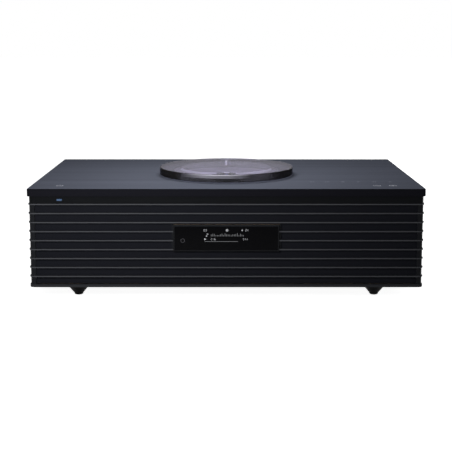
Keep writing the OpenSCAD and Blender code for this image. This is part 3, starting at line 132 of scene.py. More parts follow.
class Finish:
    """A procedural material: a principled shader with short ways to add texture nodes in real sizes."""

    def __init__(self, name, color, roughness, **sockets):
        self.material = bpy.data.materials.new(name)
        self.material.use_nodes = True
        self.tree = self.material.node_tree
        self.shader = self.tree.nodes["Principled BSDF"]
        self.color = srgb(*color)
        self.roughness = roughness
        self.shader.inputs["Base Color"].default_value = self.color
        self.shader.inputs["Roughness"].default_value = roughness
        for socket, value in sockets.items():
            words = (word.upper() if word == "ior" else word.title() for word in socket.split("_"))
            self.shader.inputs[" ".join(words)].default_value = value
        self.normal = None

    def node(self, kind, inputs=(), **settings):
        """Adds a node; inputs holds values or sockets by position or name."""
        made = self.tree.nodes.new("ShaderNode" + kind)
        for key, value in settings.items():
            setattr(made, key, value)
        pairs = inputs.items() if isinstance(inputs, dict) else enumerate(inputs)
        for key, value in pairs:
            if isinstance(value, bpy.types.NodeSocket):
                self.tree.links.new(value, made.inputs[key])
            elif value is not None:
                made.inputs[key].default_value = value
        return made

    def place(self, scale):
        """Position on the piece, in its own frame, scaled for a texture."""
        coords = self.node("TexCoord").outputs["Object"]
        return self.node("Mapping", {"Vector": coords, "Scale": scale}).outputs[0]

    def axis(self, which):
        """One coordinate of the position, in metres."""
        parts = self.node("SeparateXYZ", [self.node("TexCoord").outputs["Object"]])
        return parts.outputs["XYZ".index(which)]

    def toward(self, which):
        """One part of the surface normal in the piece's own frame."""
        parts = self.node("SeparateXYZ", [self.node("TexCoord").outputs["Normal"]])
        return parts.outputs["XYZ".index(which)]

    def facing(self, which):
        """One part of the surface normal, without its sign."""
        return self.math("ABSOLUTE", self.toward(which))

    def math(self, operation, *values):
        """Result of a sum, a product, a comparison or the like."""
        return self.node("Math", values, operation=operation).outputs[0]

    def hypot(self, first, second):
        """Root of the sum of two squares."""
        squares = [self.math("MULTIPLY", side, side) for side in (first, second)]
        return self.math("SQRT", self.math("ADD", *squares))

    def noise(self, size, detail=2.0, stretch=(1, 1, 1)):
        """Noise with features of about the given size in metres."""
        scale = tuple(part / size for part in stretch)
        return self.node("TexNoise", {"Vector": self.place(scale), "Scale": 1.0, "Detail": detail}).outputs[0]

    def radius(self, axis):
        """Distance from an upright axis."""
        x = self.math("SUBTRACT", self.axis("X"), axis[0])
        y = self.math("SUBTRACT", self.axis("Y"), axis[1])
        return self.hypot(x, y)

    def rings(self, axis, size):
        """Fine rings round an upright axis, as a lathe leaves them."""
        turns = self.math("DIVIDE", self.radius(axis), size)
        inputs = {"W": turns, "Scale": 1.0, "Detail": 2.0}
        return self.node("TexNoise", inputs, noise_dimensions="1D").outputs[0]

    def blend(self, factor, first, second):
        """Mix of two colours."""
        mixed = self.node("Mix", {0: factor, 6: first, 7: second}, data_type="RGBA")
        return mixed.outputs[2]

    def span(self, factor, low, high):
        """Maps the values that noise mostly takes to a range."""
        return self.node("MapRange", [factor, NOISE_LOW, NOISE_HIGH, low, high]).outputs[0]

    def ramp(self, factor, start, end):
        """0 up to the start, 1 from the end on and even between them."""
        return self.node("MapRange", [factor, start, end, 0.0, 1.0]).outputs[0]

    def tint(self, factor, spread, base=None):
        """Lets the base colour vary by a share up and down; base may be a colour socket."""
        if base is None:
            dark, light = (scaled(self.color, share) for share in (1 - spread, 1 + spread))
            mixed = self.blend(self.span(factor, 0, 1), dark, light)
        else:
            level = self.span(factor, 1 - spread, 1 + spread)
            mixed = self.node("VectorMath", [base, level], operation="MULTIPLY").outputs[0]
        self.tree.links.new(mixed, self.shader.inputs["Base Color"])
        return mixed

    def polish(self, factor, spread):
        """Lets the roughness vary."""
        smooth = max(self.roughness - spread, LEAST_ROUGHNESS)
        value = self.span(factor, smooth, min(self.roughness + spread, 1))
        self.tree.links.new(value, self.shader.inputs["Roughness"])

    def bump(self, height, depth, strength):
        """Adds relief of a depth in metres; reliefs stack."""
        made = self.node("Bump", {"Height": height, "Distance": depth, "Strength": strength})
        if self.normal is not None:
            self.tree.links.new(self.normal, made.inputs["Normal"])
        self.normal = made.outputs[0]
        self.tree.links.new(self.normal, self.shader.inputs["Normal"])


def moulded(name, color, roughness, **sockets):
    """Moulded plastic: fine spark-eroded grain, faint cloudiness and handling marks."""
    made = Finish(name, color, roughness, **sockets)
    made.tint(made.noise(35 * MM, 3), 0.1)
    made.polish(made.noise(9 * MM, 4), 0.05)
    made.bump(made.noise(0.4 * MM), 0.012 * MM, 0.6)
    return made


def powder_coated(name, color, roughness, **sockets):
    """Powder-coated metal: orange-peel relief and small speckle."""
    made = Finish(name, color, roughness, **sockets)
    made.tint(made.noise(0.5 * MM), 0.14)
    made.polish(made.noise(14 * MM, 3), 0.06)
    made.bump(made.noise(0.9 * MM, 1), 0.03 * MM, 0.7)
    return made


def brushed(name, color, roughness, along):
    """Brushed metal: hairlines along one axis, in two widths."""
    made = Finish(name, color, roughness, metallic=1.0)
    stretch = tuple(HAIRLINE_STRETCH if which == along else 1.0 for which in "XYZ")
    fine = made.noise(0.22 * MM, 2, stretch)
    broad = made.noise(2.4 * MM, 3, stretch)
    lines = made.math("MULTIPLY", made.math("ADD", fine, broad), 0.5)
    made.tint(lines, 0.16)
    made.polish(fine, 0.07)
    made.bump(fine, 0.006 * MM, 0.5)
    return made


def turned(name, color, roughness, axis):
    """Metal turned on a lathe: fine rings round its axis."""
    made = Finish(name, color, roughness, metallic=1.0)
    rings = made.rings(axis, 0.25 * MM)
    made.tint(rings, 0.12)
    made.polish(rings, 0.06)
    made.bump(rings, 0.004 * MM, 0.6)
    return made


def plated(name, color, roughness):
    """Plated or ground steel: soft mottling and fine scratches."""
    made = Finish(name, color, roughness, metallic=1.0)
    made.tint(made.noise(3 * MM, 4), 0.12)
    made.polish(made.noise(0.8 * MM, 3), 0.08)
    made.bump(made.noise(0.3 * MM, 2), 0.004 * MM, 0.5)
    return made


def fibreboard(name, color):
    """Pressed fibreboard: short fibres and speckle."""
    made = Finish(name, color, 0.75)
    fibre = made.noise(1.2 * MM, 4, (0.35, 0.35, 1))
    made.tint(fibre, 0.22)
    made.polish(made.noise(6 * MM, 3), 0.08)
    made.bump(fibre, 0.06 * MM, 0.7)
    return made


def rubbery(name, color, roughness=0.8):
    """Rubber: dull, with a fine tooth and a dusty bloom."""
    made = Finish(name, color, roughness, specular_ior_level=0.06)
    made.tint(made.noise(5 * MM, 4), 0.25)
    made.polish(made.noise(2 * MM, 3), 0.08)
    made.bump(made.noise(0.25 * MM), 0.02 * MM, 0.7)
    return made


def circuit(name, color):
    """Circuit board: solder mask with a pattern of tracks under it."""
    made = Finish(name, color, 0.35, specular_ior_level=0.3)
    cell = 6.25 * MM
    tracks = made.node("TexBrick", {
        "Vector": made.place((1 / cell,) * 3),
        "Color1": made.color,
        "Color2": scaled(made.color, 1.25),
        "Mortar": scaled(made.color, 2.2),
        "Mortar Size": 0.05,
    })
    made.tint(made.noise(1.5 * MM, 3), 0.12, tracks.outputs[0])
    made.bump(tracks.outputs[1], 0.03 * MM, 0.4)
    return made


def pulp(name, color):
    """Coated paper pulp of a loudspeaker cone: long fibres under a dull coat."""
    made = Finish(name, color, 0.7, specular_ior_level=0.25)
    fibre = made.noise(2 * MM, 5)
    made.tint(fibre, 0.3)
    made.bump(fibre, 0.08 * MM, 0.8)
    return made


def panel_finish():
    """Dark anodised top panel: hairlines along X on its broad faces, which carry a painted sheen that makes
    them lighter than the near-black edges.
    """
    made = Finish("panel_alloy", (75, 78, 88), 0.45, metallic=0.12, specular_ior_level=0.0,
                  specular_tint=(0.13, 0.135, 0.15, 1.0))
    stretch = (HAIRLINE_STRETCH, 1, 1)
    fine = made.noise(0.25 * MM, 2, stretch)
    broad = made.noise(3.5 * MM, 3, stretch)
    lines = made.math("MULTIPLY", made.math("ADD", fine, broad), 0.5)
    # Painted sheen: the broad faces get a lighter colour than the near-black edges, standing in for their
    # grazing reflection
    broad_face_painted_sheen = made.math("GREATER_THAN", made.facing("Z"), 0.8)
    faces = made.blend(broad_face_painted_sheen, srgb(24, 24, 29), made.color)
    streaked = made.tint(lines, 0.14, faces)
    made.tint(made.noise(14 * MM, 2, (0.02, 1, 1)), 0.05, streaked)
    made.polish(fine, 0.06)
    made.bump(fine, 0.005 * MM, 0.5)
    return made


def grille_finish():
    """Satin black moulding: fin front faces painted lighter as a painted highlight line, corner posts a
    little lighter than the rail.
    """
    made = Finish("grille_black", (18, 19, 21), 0.42, specular_ior_level=0.02)
    first = Z_UNDER - RAIL_HEIGHT - FIN_THICK
    up = made.math("DIVIDE", made.math("SUBTRACT", made.axis("Z"), first), FIN_PITCH)
    # Whole pitches are added first, so that the share of a pitch is taken from a positive number
    whole_pitches = 40.0
    step = made.math("FRACT", made.math("ADD", up, whole_pitches))
    in_fin = made.math("LESS_THAN", step, FIN_THICK / FIN_PITCH)
    below_rail = made.math("LESS_THAN", made.axis("Z"), first + FIN_THICK * 1.01)
    upright = made.math("LESS_THAN", made.facing("Z"), UPRIGHT)
    # Painted highlight: the upright faces of the fins below the rail get a light colour, where light catches
    # each fin
    tip = made.math("MULTIPLY", made.math("MULTIPLY", in_fin, below_rail), upright)
    post = made.blend(below_rail, made.color, srgb(30, 31, 34))
    faces = made.blend(tip, post, srgb(73, 74, 78))
    hair = made.noise(0.5 * MM, 3, (0.01, 0.01, 1))
    made.tint(hair, 0.12, faces)
    made.polish(made.noise(9 * MM, 4), 0.05)
    made.bump(made.noise(0.4 * MM), 0.01 * MM, 0.5)
    return made


def lip_finish():
    """Powder-coated base plate; its upright edge faces are painted lighter than its flat faces, a painted
    highlight.
    """
    made = Finish("base_steel", (18, 18, 20), 0.5, specular_ior_level=0.02)
    # Painted highlight: upright faces lighter than the flat ones
    edge = made.math("LESS_THAN", made.facing("Z"), UPRIGHT)
    made.tint(made.noise(0.5 * MM), 0.14, made.blend(edge, made.color, srgb(47, 48, 51)))
    made.polish(made.noise(14 * MM, 3), 0.06)
    made.bump(made.noise(0.9 * MM, 1), 0.03 * MM, 0.7)
    return made


def woven_finish():
    """Acoustic cloth: plain weave of fine dark threads."""
    made = Finish("cloth_black", (26, 27, 32), 0.85, specular_ior_level=0.02)
    thread = 0.9 * MM
    inputs = {"Vector": made.place((1 / thread,) * 3), "Scale": 0.5}
    threads = [made.node("TexWave", inputs, bands_direction=along).outputs[1] for along in "XZ"]
    weave = made.math("MAXIMUM", *threads)
    made.tint(weave, 0.28)
    made.bump(weave, 0.12 * MM, 0.8)
    made.bump(made.noise(0.3 * MM), 0.03 * MM, 0.5)
    return made


def acrylic_finish():
    """Smoked acrylic: clear roof that bends light a little, and a rim that is dark but for its front.

    There the rim's higher part carries a painted glow and its rounded edge a brighter painted highlight, both
    painted reflections that fade to the sides and are strongest a little left of the middle. The underside is
    painted darker, as shade.
    """
    made = Finish("lid_acrylic", (228, 226, 234), 0.03, ior=1.045, coat_weight=1.0, coat_ior=1.0,
                  coat_tint=(0.968, 0.965, 0.98, 1.0))
    slack = 0.05 * MM
    below_top = made.math("SUBTRACT", LID_HIGH.z, made.axis("Z"))
    top = made.math("LESS_THAN", below_top, slack)
    roof = made.math("LESS_THAN", below_top, LID_ROOF + slack)
    flat = made.math("GREATER_THAN", made.facing("Z"), 0.6)
    edge = made.math("LESS_THAN", below_top, LID_ROUND + slack)
    over_roof = made.math("LESS_THAN", below_top, 1.5 * LID_ROOF)
    far_out = made.math("GREATER_THAN", made.radius(DISC_AXIS), LID_HIGH.x - LID_ROUND - 2 * slack)
    rim = made.math("MULTIPLY", far_out, made.math("SUBTRACT", 1.0, top))
    clear = made.math("MULTIPLY", made.math("MULTIPLY", roof, flat), made.math("SUBTRACT", 1.0, rim))
    # Painted reflection on the front of the rim: a glow on its higher part, a brighter highlight on its
    # rounded edge
    front = made.ramp(made.toward("Y"), -0.68, -0.78)
    glow = made.blend(over_roof, srgb(40, 40, 42), srgb(124, 123, 131))
    glow = made.blend(edge, glow, srgb(176, 175, 184))
    # The painted glow fades out to the sides and is strongest a little left of the middle
    away_from_painted_highlight = made.math("ABSOLUTE", made.math("ADD", made.toward("X"), 0.15))
    glow = made.blend(made.ramp(away_from_painted_highlight, 0.2, 0.5), glow, srgb(52, 52, 56))
    rim_smoke_and_painted_light = made.blend(front, srgb(20, 18, 15), glow)
    # Painted shade: the underside gets a darker colour
    underside = made.math("LESS_THAN", made.axis("Z"), LID_LOW.z + slack)
    body_and_painted_underside_shade = made.blend(underside, made.color, srgb(58, 58, 64))
    made.tint(made.noise(40 * MM, 3), 0.05, made.blend(rim, body_and_painted_underside_shade, rim_smoke_and_painted_light))
    made.tree.links.new(clear, made.shader.inputs["Transmission Weight"])
    solid = made.math("MAXIMUM", made.math("MULTIPLY", rim, 0.92), clear)
    smoke = made.node("MapRange", [underside, 0.0, 1.0, 0.04, 0.45]).outputs[0]
    made.tree.links.new(made.math("MAXIMUM", solid, smoke), made.shader.inputs["Alpha"])
    return made


def bezel_finish():
    """Black moulding, painted a little lighter along its top edge: a painted highlight of light from above.
    """
    made = Finish("bezel_black", (27, 28, 30), 0.35, specular_ior_level=0.03)
    # Painted highlight along the top band
    upper = made.math("GREATER_THAN", made.axis("Z"), BEZEL_HIGH.z - 1.5 * MM)
    made.tint(made.noise(35 * MM, 3), 0.1, made.blend(upper, made.color, srgb(34, 35, 38)))
    made.polish(made.noise(9 * MM, 4), 0.05)
    made.bump(made.noise(0.4 * MM), 0.012 * MM, 0.6)
    return made


def window_finish():
    """Near-black acrylic window with a soft gloss."""
    made = Finish("window_smoke", (6, 6, 8), 0.12, specular_ior_level=0.02)
    made.tint(made.noise(20 * MM, 3), 0.1)
    made.polish(made.noise(12 * MM, 4), 0.04)
    return made


def sensor_finish():
    """Dark filter with a lighter moulded ring round it."""
    made = Finish("sensor_dark", (8, 7, 9), 0.2, specular_ior_level=0.03)
    x = made.math("SUBTRACT", made.axis("X"), (SENSOR_LOW.x + SENSOR_HIGH.x) / 2)
    z = made.math("SUBTRACT", made.axis("Z"), (SENSOR_LOW.z + SENSOR_HIGH.z) / 2)
    off = made.hypot(x, z)
    ring_start = (SENSOR_HIGH.x - SENSOR_LOW.x) / 2 - 0.7 * MM
    made.tint(made.noise(0.6 * MM), 0.1,
              made.blend(made.math("GREATER_THAN", off, ring_start), made.color, srgb(64, 64, 68)))
    return made


def lit(name, color, strength, surface=None, **sockets):
    """A lit surface with a fine pixel-like unevenness; surface is its own colour where that differs."""
    made = Finish(name, surface or color, 0.4, **sockets)
    made.shader.inputs["Emission Color"].default_value = srgb(*color)
    level = made.span(made.noise(0.5 * MM, 1), strength * 0.85, strength * 1.15)
    made.tree.links.new(level, made.shader.inputs["Emission Strength"])
    return made


def well_finish():
    """Disc well: satin silver with fine rings."""
    made = Finish("well_satin", (128, 127, 136), 0.4, specular_ior_level=0.1)
    rings = made.rings(DISC_AXIS, 0.5 * MM)
    made.tint(rings, 0.08)
    made.polish(made.noise(9 * MM, 4), 0.05)
    made.bump(rings, 0.006 * MM, 0.5)
    return made


def hub_finish():
    """Turned hub: dark dome with a painted highlight down the middle of its cap, half metallic there, and a
    dark seat ring round it.
    """
    made = Finish("hub_silver", (70, 69, 76), 0.3)
    rings = made.rings(DISC_AXIS, 0.25 * MM)
    dome_radius = 7.6 * MM
    seat = made.math("GREATER_THAN", made.radius(DISC_AXIS), dome_radius)
    # Painted highlight: white on the cap where it faces little sideways
    painted_streak = made.ramp(made.facing("X"), 0.24, 0.08)
    cap = made.math("GREATER_THAN", made.facing("Z"), 0.35)
    painted_spot = made.math("MULTIPLY", painted_streak, cap)
    dome = made.blend(painted_spot, made.color, srgb(255, 255, 255))
    made.tree.links.new(made.math("MULTIPLY", painted_spot, 0.5), made.shader.inputs["Metallic"])
    made.tint(rings, 0.12, made.blend(seat, dome, srgb(34, 34, 38)))
    made.polish(rings, 0.06)
    made.bump(rings, 0.004 * MM, 0.6)
    return made


def pivot_finish():
    """Turned pivot post: a painted highlight down the middle of its wall, dark base colour on its flanks."""
    made = Finish("pivot_metal", (58, 56, 64), 0.55, specular_ior_level=0.1)
    # Painted highlight: light colour on the wall where it faces little sideways
    painted_streak = made.ramp(made.facing("X"), 0.22, 0.08)
    wall = made.math("LESS_THAN", made.facing("Z"), UPRIGHT)
    rings = made.rings(PIVOT_AXIS, 0.25 * MM)
    made.tint(rings, 0.1, made.blend(made.math("MULTIPLY", painted_streak, wall), made.color, srgb(222, 221, 226)))
    made.polish(rings, 0.06)
    made.bump(rings, 0.004 * MM, 0.6)
    return made


FINISHES = {
    "panel_alloy": panel_finish(),
    "well_satin": well_finish(),
    "grille_black": grille_finish(),
    "cloth_black": woven_finish(),
    "board_fibre": fibreboard("board_fibre", (128, 108, 86)),
    "board_black": powder_coated("board_black", (26, 26, 28), 0.5, specular_ior_level=0.2),
    "base_steel": lip_finish(),
    "foot_black": moulded("foot_black", (10, 10, 11), 0.45, specular_ior_level=0.02),
    "rubber_black": rubbery("rubber_black", (20, 20, 21)),
    "rear_black": powder_coated("rear_black", (30, 30, 32), 0.45, specular_ior_level=0.25),
    "bezel_black": bezel_finish(),
    "window_smoke": window_finish(),
    "module_black": circuit("module_black", (24, 30, 34)),
    "sensor_dark": sensor_finish(),
    "light_blue": lit("light_blue", (44, 100, 150), 0.4, surface=(10, 26, 50)),
    "board_green": circuit("board_green", (26, 92, 56)),
    "board_tan": circuit("board_tan", (150, 116, 62)),
    "alloy_bare": brushed("alloy_bare", (186, 188, 192), 0.4, along="Z"),
    "socket_black": moulded("socket_black", (24, 24, 26), 0.4, specular_ior_level=0.25),
    "socket_metal": plated("socket_metal", (196, 196, 194), 0.25),
    "basket_steel": powder_coated("basket_steel", (40, 40, 42), 0.5, specular_ior_level=0.3),
    "magnet_dark": powder_coated("magnet_dark", (60, 60, 62), 0.65, specular_ior_level=0.3),
    "cone_black": pulp("cone_black", (32, 32, 34)),
    "roll_black": rubbery("roll_black", (24, 24, 24), 0.6),
    "tweeter_black": moulded("tweeter_black", (44, 44, 46), 0.45, specular_ior_level=0.3),
    "dome_silver": plated("dome_silver", (190, 190, 194), 0.3),
    "port_black": moulded("port_black", (24, 24, 26), 0.5, specular_ior_level=0.2),
    "steel_plate": plated("steel_plate", (188, 190, 194), 0.35),
    "steel_bright": plated("steel_bright", (212, 212, 214), 0.15),
    "hub_silver": hub_finish(),
    "sled_black": moulded("sled_black", (48, 48, 50), 0.5, specular_ior_level=0.3),
    "lens_glass": moulded("lens_glass", (120, 140, 210), 0.05, transmission_weight=0.6),
    "brass": turned("brass", (206, 168, 92), 0.25, PIVOT_AXIS),
    "gear_white": moulded("gear_white", (226, 225, 216), 0.45),
    "lid_acrylic": acrylic_finish(),
    "pivot_metal": pivot_finish(),
    "bush_bronze": turned("bush_bronze", (112, 104, 92), 0.4, PIVOT_AXIS),
    "clip_steel": plated("clip_steel", (96, 96, 100), 0.35),
    "screw_black": plated("screw_black", (52, 52, 55), 0.4),
    # The printed marks carry a faint painted glow on top of their print colour
    "print_faint": lit("print_faint", (112, 114, 124), 0.03, specular_ior_level=0.0),
    "print_bright": lit("print_bright", (168, 170, 178), 0.16, specular_ior_level=0.0),
    "display_lit": lit("display_lit", (190, 192, 196), 0.75, surface=(20, 20, 22)),
    "display_dim": lit("display_dim", (160, 162, 166), 0.35, surface=(20, 20, 22)),
}


def dress_nodes():
    """Gives each CAD node the finish of its material slot."""
    slots = {part["node"]: part["material_slot"] for part in frame["record"]["subparts"]}
    for name, node in frame["nodes"].items():
        node.data.materials.clear()
        node.data.materials.append(FINISHES[slots[name]].material)


def new_piece(name, points, faces, finish):
    """A mesh piece that rides on the cabinet."""
    mesh = bpy.data.meshes.new(name)
    mesh.from_pydata([tuple(p) for p in points], [], faces)
    mesh.update()
    made = bpy.data.objects.new(name, mesh)
    bpy.context.collection.objects.link(made)
    mesh.materials.append(FINISHES[finish].material)
    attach(made, "cabinet")
    return made


# Acoustic cloth


def cut_lines(low, high, pitch, cuts):
    """Grid lines from low to high at about the pitch, with lines at each cut."""
    stops = sorted({low, high, *(c for c in cuts if low < c < high)})
    lines = []
    for start, end in zip(stops, stops[1:]):
        count = max(1, round((end - start) / pitch))
        lines += [start + (end - start) * i / count for i in range(count)]
    return lines + [high]


def make_cloth():
    """Cloth stretched over the baffle, cut out round the display and the status light."""
    low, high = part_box("grille_cloth")
    mesh_pitch = 5 * MM
    room = 0.3 * MM
    holes = []
    for node in ("display_bezel", "status_light"):
        near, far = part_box(node)
        holes.append((near.x - room, far.x + room, near.z - room, far.z + room))
    xs = cut_lines(low.x, high.x, mesh_pitch, [edge for hole in holes for edge in hole[:2]])
    zs = cut_lines(low.z, high.z, mesh_pitch, [edge for hole in holes for edge in hole[2:]])
    y = (low.y + high.y) / 2
    points = [(x, y, z) for z in zs for x in xs]
    faces, area = [], 0.0
    for row in range(len(zs) - 1):
        for col in range(len(xs) - 1):
            x, z = (xs[col] + xs[col + 1]) / 2, (zs[row] + zs[row + 1]) / 2
            if any(h[0] < x < h[1] and h[2] < z < h[3] for h in holes):
                continue
            corner = row * len(xs) + col
            faces.append((corner, corner + 1, corner + len(xs) + 1, corner + len(xs)))
            area += (xs[col + 1] - xs[col]) * (zs[row + 1] - zs[row])
    cloth = new_piece("acoustic_cloth", points, faces, "cloth_black")
    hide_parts("grille_cloth")


# Flat signs, drawn in millimetres round their own middle


def bar(x0, y0, x1, y1):
    """Upright rectangle between two corners."""
    return [[(x0, y0), (x1, y0), (x1, y1), (x0, y1)]]


def triangle(x0, x1, half):
    """Triangle with its base at x0 and its tip at x1."""
    return [[(x0, -half), (x1, 0), (x0, half)]]


def ring(radius, width, start=0, end=360, steps=40, at=(0, 0)):
    """Ring or arc, as a strip of four-sided faces; angles from the X axis."""
    angles = [math.radians(start + (end - start) * i / steps) for i in range(steps + 1)]
    outer = [(at[0] + radius * math.cos(a), at[1] + radius * math.sin(a)) for a in angles]
    inner = [(at[0] + (radius - width) * math.cos(a), at[1] + (radius - width) * math.sin(a)) for a in angles]
    return [[inner[i], outer[i], outer[i + 1], inner[i + 1]] for i in range(steps)]


def moved(faces, dx, dy, scale=1.0):
    """Faces scaled round their middle and then shifted."""
    return [[(x * scale + dx, y * scale + dy) for x, y in face] for face in faces]


POWER = ring(4.0, 0.7, 125, 415) + bar(-0.4, 0.6, 0.4, 4.6)
MINUS = ring(4.4, 0.6) + bar(-2.2, -0.4, 2.2, 0.4)
PLUS = MINUS + bar(-0.4, 0.4, 0.4, 2.2) + bar(-0.4, -2.2, 0.4, -0.4)
STOP = bar(-1.8, -1.8, 1.8, 1.8)
PLAY = triangle(-1.8, 2.2, 2.1)
PAUSE = bar(-1.8, -2, -0.6, 2) + bar(0.6, -2, 1.8, 2)
BACK = triangle(0.1, -2.6, 1.8) + triangle(2.9, 0.2, 1.8)
NEXT = triangle(-0.1, 2.6, 1.8) + triangle(-2.9, -0.2, 1.8)
EJECT = [[(-2.2, -0.4), (2.2, -0.4), (0, 2.2)]] + bar(-2.2, -1.8, 2.2, -0.9)
DISC = ring(2.0, 1.1) + ring(0.45, 0.4, steps=16)
SPEAKER = bar(-1.6, -0.6, -0.7, 0.6) + [[(-0.7, -0.6), (0.5, -1.5), (0.5, 1.5), (-0.7, 0.6)]]
NOTE = ring(0.75, 0.7, at=(-0.9, -1.6), steps=16) + bar(-0.3, -1.6, 0.05, 1.9) + [
    [(0.05, 1.0), (1.5, 0.3), (1.5, 1.2), (0.05, 1.9)]]

# Strokes of a seven-part digit: both ends of each, in shares of the digit's width and height
STROKES = {
    "a": ((0, 1), (1, 1)),
    "b": ((1, 0.5), (1, 1)),
    "c": ((1, 0), (1, 0.5)),
    "d": ((0, 0), (1, 0)),
    "e": ((0, 0), (0, 0.5)),
    "f": ((0, 0.5), (0, 1)),
    "g": ((0, 0.5), (1, 0.5)),
}
DIGITS = {
    "0": "abcdef", "1": "bc", "2": "abged", "3": "abgcd", "4": "fgbc",
    "5": "afgcd", "6": "afgedc", "7": "abc", "8": "abcdefg", "9": "abcdfg",
}


def stroke(start, end, half):
    """Bar with pointed ends between two points."""
    along = Vector((end[0] - start[0], end[1] - start[1])).normalized()
    side = Vector((-along.y, along.x)) * half
    a, b = Vector(start) + along * half * 0.3, Vector(end) - along * half * 0.3
    near, far = a + along * half, b - along * half
    outline = (a, near - side, far - side, b, far + side, near + side)
    return [[tuple(point) for point in outline]]


def number(text, height):
    """Digits and colons in a row that starts at the origin."""
    width, gap, half = height * 0.5, height * 0.3, height * 0.06
    faces, x = [], 0.0
    for sign in text:
        if sign == ":":
            for level in (0.28, 0.72):
                faces += bar(x - half, level * height - half, x + half, level * height + half)
            x += gap
            continue
        for part in DIGITS[sign]:
            start, end = ((x + across * width, up * height) for across, up in STROKES[part])
            faces += stroke(start, end, half)
        x += width + gap
    return faces


def make_sign(name, faces, to_world, finish):
    """Flat sign made of 2D faces in millimetres, laid on a surface."""
    points, loops = [], []
    for face in faces:
        loops.append(tuple(range(len(points), len(points) + len(face))))
        points += [to_world(x * MM, y * MM) for x, y in face]
    return new_piece(name, points, loops, finish)


def make_key_marks():
    """Touch marks printed on the top panel, with a faint painted glow: a faint row, a brighter pair and the
    power mark.
    """

    def on_panel(at_x, at_y):
        return lambda x, y: (at_x + x, at_y + y, Z_TOP + SIGN_LIFT)

    row = (("back", BACK), ("next", NEXT), ("stop", STOP), ("play", PLAY), ("pause", PAUSE), ("open", EJECT))
    for index, (name, faces) in enumerate(row):
        place = on_panel(KEY_ROW_START + KEY_ROW_PITCH * index, KEY_ROW_Y)
        make_sign("mark_" + name, faces, place, "print_faint")
    for name, faces, x in (("minus", MINUS, MINUS_X), ("plus", PLUS, PLUS_X), ("power", POWER, POWER_X)):
        make_sign("mark_" + name, faces, on_panel(x, KEY_PAIR_Y), "print_bright")


def make_display():
    """Lit signs on the display: track number, disc, level, a row of bars, times and a progress line."""
    front = WINDOW_LOW.y - SIGN_LIFT
    middle = (WINDOW_LOW.z + WINDOW_HIGH.z) / 2

    def on_window(x, y):
        return (x, front, middle + y)

    # Rows and columns from the middle of the window, heights and widths, all in millimetres
    top_row, bar_row, time_row, line_row = 8.2, 2.4, -2.0, -3.6
    track_x, disc_x, speaker_x, volume_x = -25.6, 0.9, 18.4, 21.8
    play_x, note_x, past_x, left_x = -24, -21.8, -17.4, 19.2
    track_height, volume_height, time_height = 2.5, 2.3, 2.1
    bar_count, bar_start, bar_pitch, bar_width = 22, -17.4, 1.75, 0.55
    bar_least, bar_swing = 1.3, 2.4
    line_start, line_end, line_half = -24.6, 13.4, 0.2
    lit_faces = moved(number("03", track_height), track_x, top_row)
    lit_faces += moved(DISC, disc_x, top_row + 1.2, 0.7)
    lit_faces += moved(SPEAKER, speaker_x, top_row + 1.2, 0.75)
    lit_faces += moved(number("24", volume_height), volume_x, top_row + 0.1)
    lit_faces += moved(NOTE, note_x, bar_row + 1.7, 0.9)
    lit_faces += moved(PLAY, play_x, time_row + 1.1, 0.6)
    lit_faces += moved(number("2:16", time_height), past_x, time_row)
    lit_faces += moved(number("5:41", time_height), left_x, time_row)
    level_faces = []
    for index in range(bar_count):
        tall = bar_least + bar_swing * abs(math.sin(1.9 * index + 0.4) * math.cos(0.37 * index))
        x = bar_start + bar_pitch * index
        level_faces += bar(x, bar_row, x + bar_width, bar_row + tall)
    line_faces = bar(line_start, line_row - line_half, line_end, line_row + line_half)
    make_sign("display_signs", lit_faces, on_window, "display_lit")
    make_sign("display_levels", level_faces, on_window, "display_dim")
    make_sign("display_line", line_faces, on_window, "display_dim")


# Camera, light and background


def make_camera():
    """Camera of the photograph: its lens, height, tilt and framing."""
    focal_px = 1024.6
    principal_row = 187.3
    centre_column = 226.28
    tilt = math.radians(8.495)
    before_front = 1145.8 * MM
    over_panel = 173.1 * MM
    data = bpy.data.cameras.new("camera")
    data.sensor_width = 36
    data.lens = data.sensor_width * focal_px / IMAGE_SIZE
    data.shift_x = (IMAGE_SIZE / 2 - centre_column) / IMAGE_SIZE
    data.shift_y = (principal_row - IMAGE_SIZE / 2) / IMAGE_SIZE
    camera = bpy.data.objects.new("camera", data)
    camera.location = (0, Y_FRONT - before_front, Z_TOP + over_panel)
    camera.rotation_euler = (math.pi / 2 - tilt, 0, 0)
    bpy.context.collection.objects.link(camera)
    bpy.context.scene.camera = camera


def make_lamp(name, place, target, size, power):
    """Soft rectangular lamp aimed at a point."""
    data = bpy.data.lights.new(name, "AREA")
    data.shape = "RECTANGLE"
    data.size, data.size_y = size
    data.energy = power
    lamp = bpy.data.objects.new(name, data)
    lamp.location = place
    lamp.rotation_euler = (Vector(target) - Vector(place)).to_track_quat("-Z", "Y").to_euler()
    bpy.context.collection.objects.link(lamp)


def background_rays(tree):
    """1 for rays that see the background: from the camera, off gloss and through glass."""
    rays = tree.nodes.new("ShaderNodeLightPath")
    total = rays.outputs["Is Camera Ray"]
    for kind in ("Is Glossy Ray", "Is Transmission Ray"):
        added = tree.nodes.new("ShaderNodeMath")
        added.operation = "ADD"
        added.use_clamp = True
        tree.links.new(total, added.inputs[0])
        tree.links.new(rays.outputs[kind], added.inputs[1])
        total = added.outputs[0]
    return total


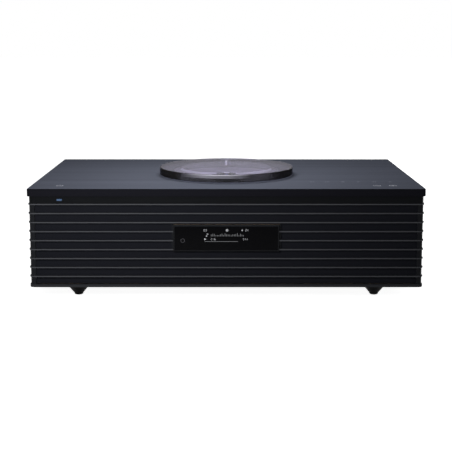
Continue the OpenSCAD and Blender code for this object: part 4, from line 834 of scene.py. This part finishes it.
def make_world():
    """White background; a softer even light for the surfaces."""
    world = bpy.data.worlds.new("studio")
    bpy.context.scene.world = world
    world.use_nodes = True
    tree = world.node_tree
    soft = tree.nodes["Background"]
    soft.inputs["Color"].default_value = (0.97, 0.98, 1.0, 1.0)
    soft.inputs["Strength"].default_value = SOFT_LIGHT
    white = tree.nodes.new("ShaderNodeBackground")
    white.inputs["Color"].default_value = (1, 1, 1, 1)
    white.inputs["Strength"].default_value = 1.0
    mixed = tree.nodes.new("ShaderNodeMixShader")
    tree.links.new(background_rays(tree), mixed.inputs[0])
    tree.links.new(soft.outputs[0], mixed.inputs[1])
    tree.links.new(white.outputs[0], mixed.inputs[2])
    tree.links.new(mixed.outputs[0], tree.nodes["World Output"].inputs["Surface"])


def make_floor():
    """Pale floor that reads as white and keeps the object's soft shadow."""
    signs = ((-1, -1), (1, -1), (1, 1), (-1, 1))
    corners = [(x * FLOOR_HALF, y * FLOOR_HALF, 0) for x, y in signs]
    mesh = bpy.data.meshes.new("floor")
    mesh.from_pydata(corners, [], [(0, 1, 2, 3)])
    floor = bpy.data.objects.new("floor", mesh)
    bpy.context.collection.objects.link(floor)
    material = bpy.data.materials.new("floor_pale")
    material.use_nodes = True
    tree = material.node_tree
    tree.nodes.remove(tree.nodes["Principled BSDF"])
    seen, shade, glow, paper, mixed = (
        tree.nodes.new("ShaderNode" + kind)
        for kind in ("AddShader", "BsdfDiffuse", "Emission", "BsdfDiffuse", "MixShader")
    )
    shade.inputs["Color"].default_value = (FLOOR_SHADE, FLOOR_SHADE, FLOOR_SHADE, 1)
    glow.inputs["Strength"].default_value = FLOOR_GLOW
    paper.inputs["Color"].default_value = (FLOOR_PAPER, FLOOR_PAPER, FLOOR_PAPER, 1)
    tree.links.new(shade.outputs[0], seen.inputs[0])
    tree.links.new(glow.outputs[0], seen.inputs[1])
    tree.links.new(background_rays(tree), mixed.inputs[0])
    tree.links.new(paper.outputs[0], mixed.inputs[1])
    tree.links.new(seen.outputs[0], mixed.inputs[2])
    tree.links.new(mixed.outputs[0], tree.nodes["Material Output"].inputs["Surface"])
    mesh.materials.append(material)


dress_nodes()
make_cloth()
make_key_marks()
make_display()
make_camera()
make_world()
make_floor()
for lamp in LAMPS:
    make_lamp(*lamp)
bpy.context.scene.view_settings.view_transform = "Standard"
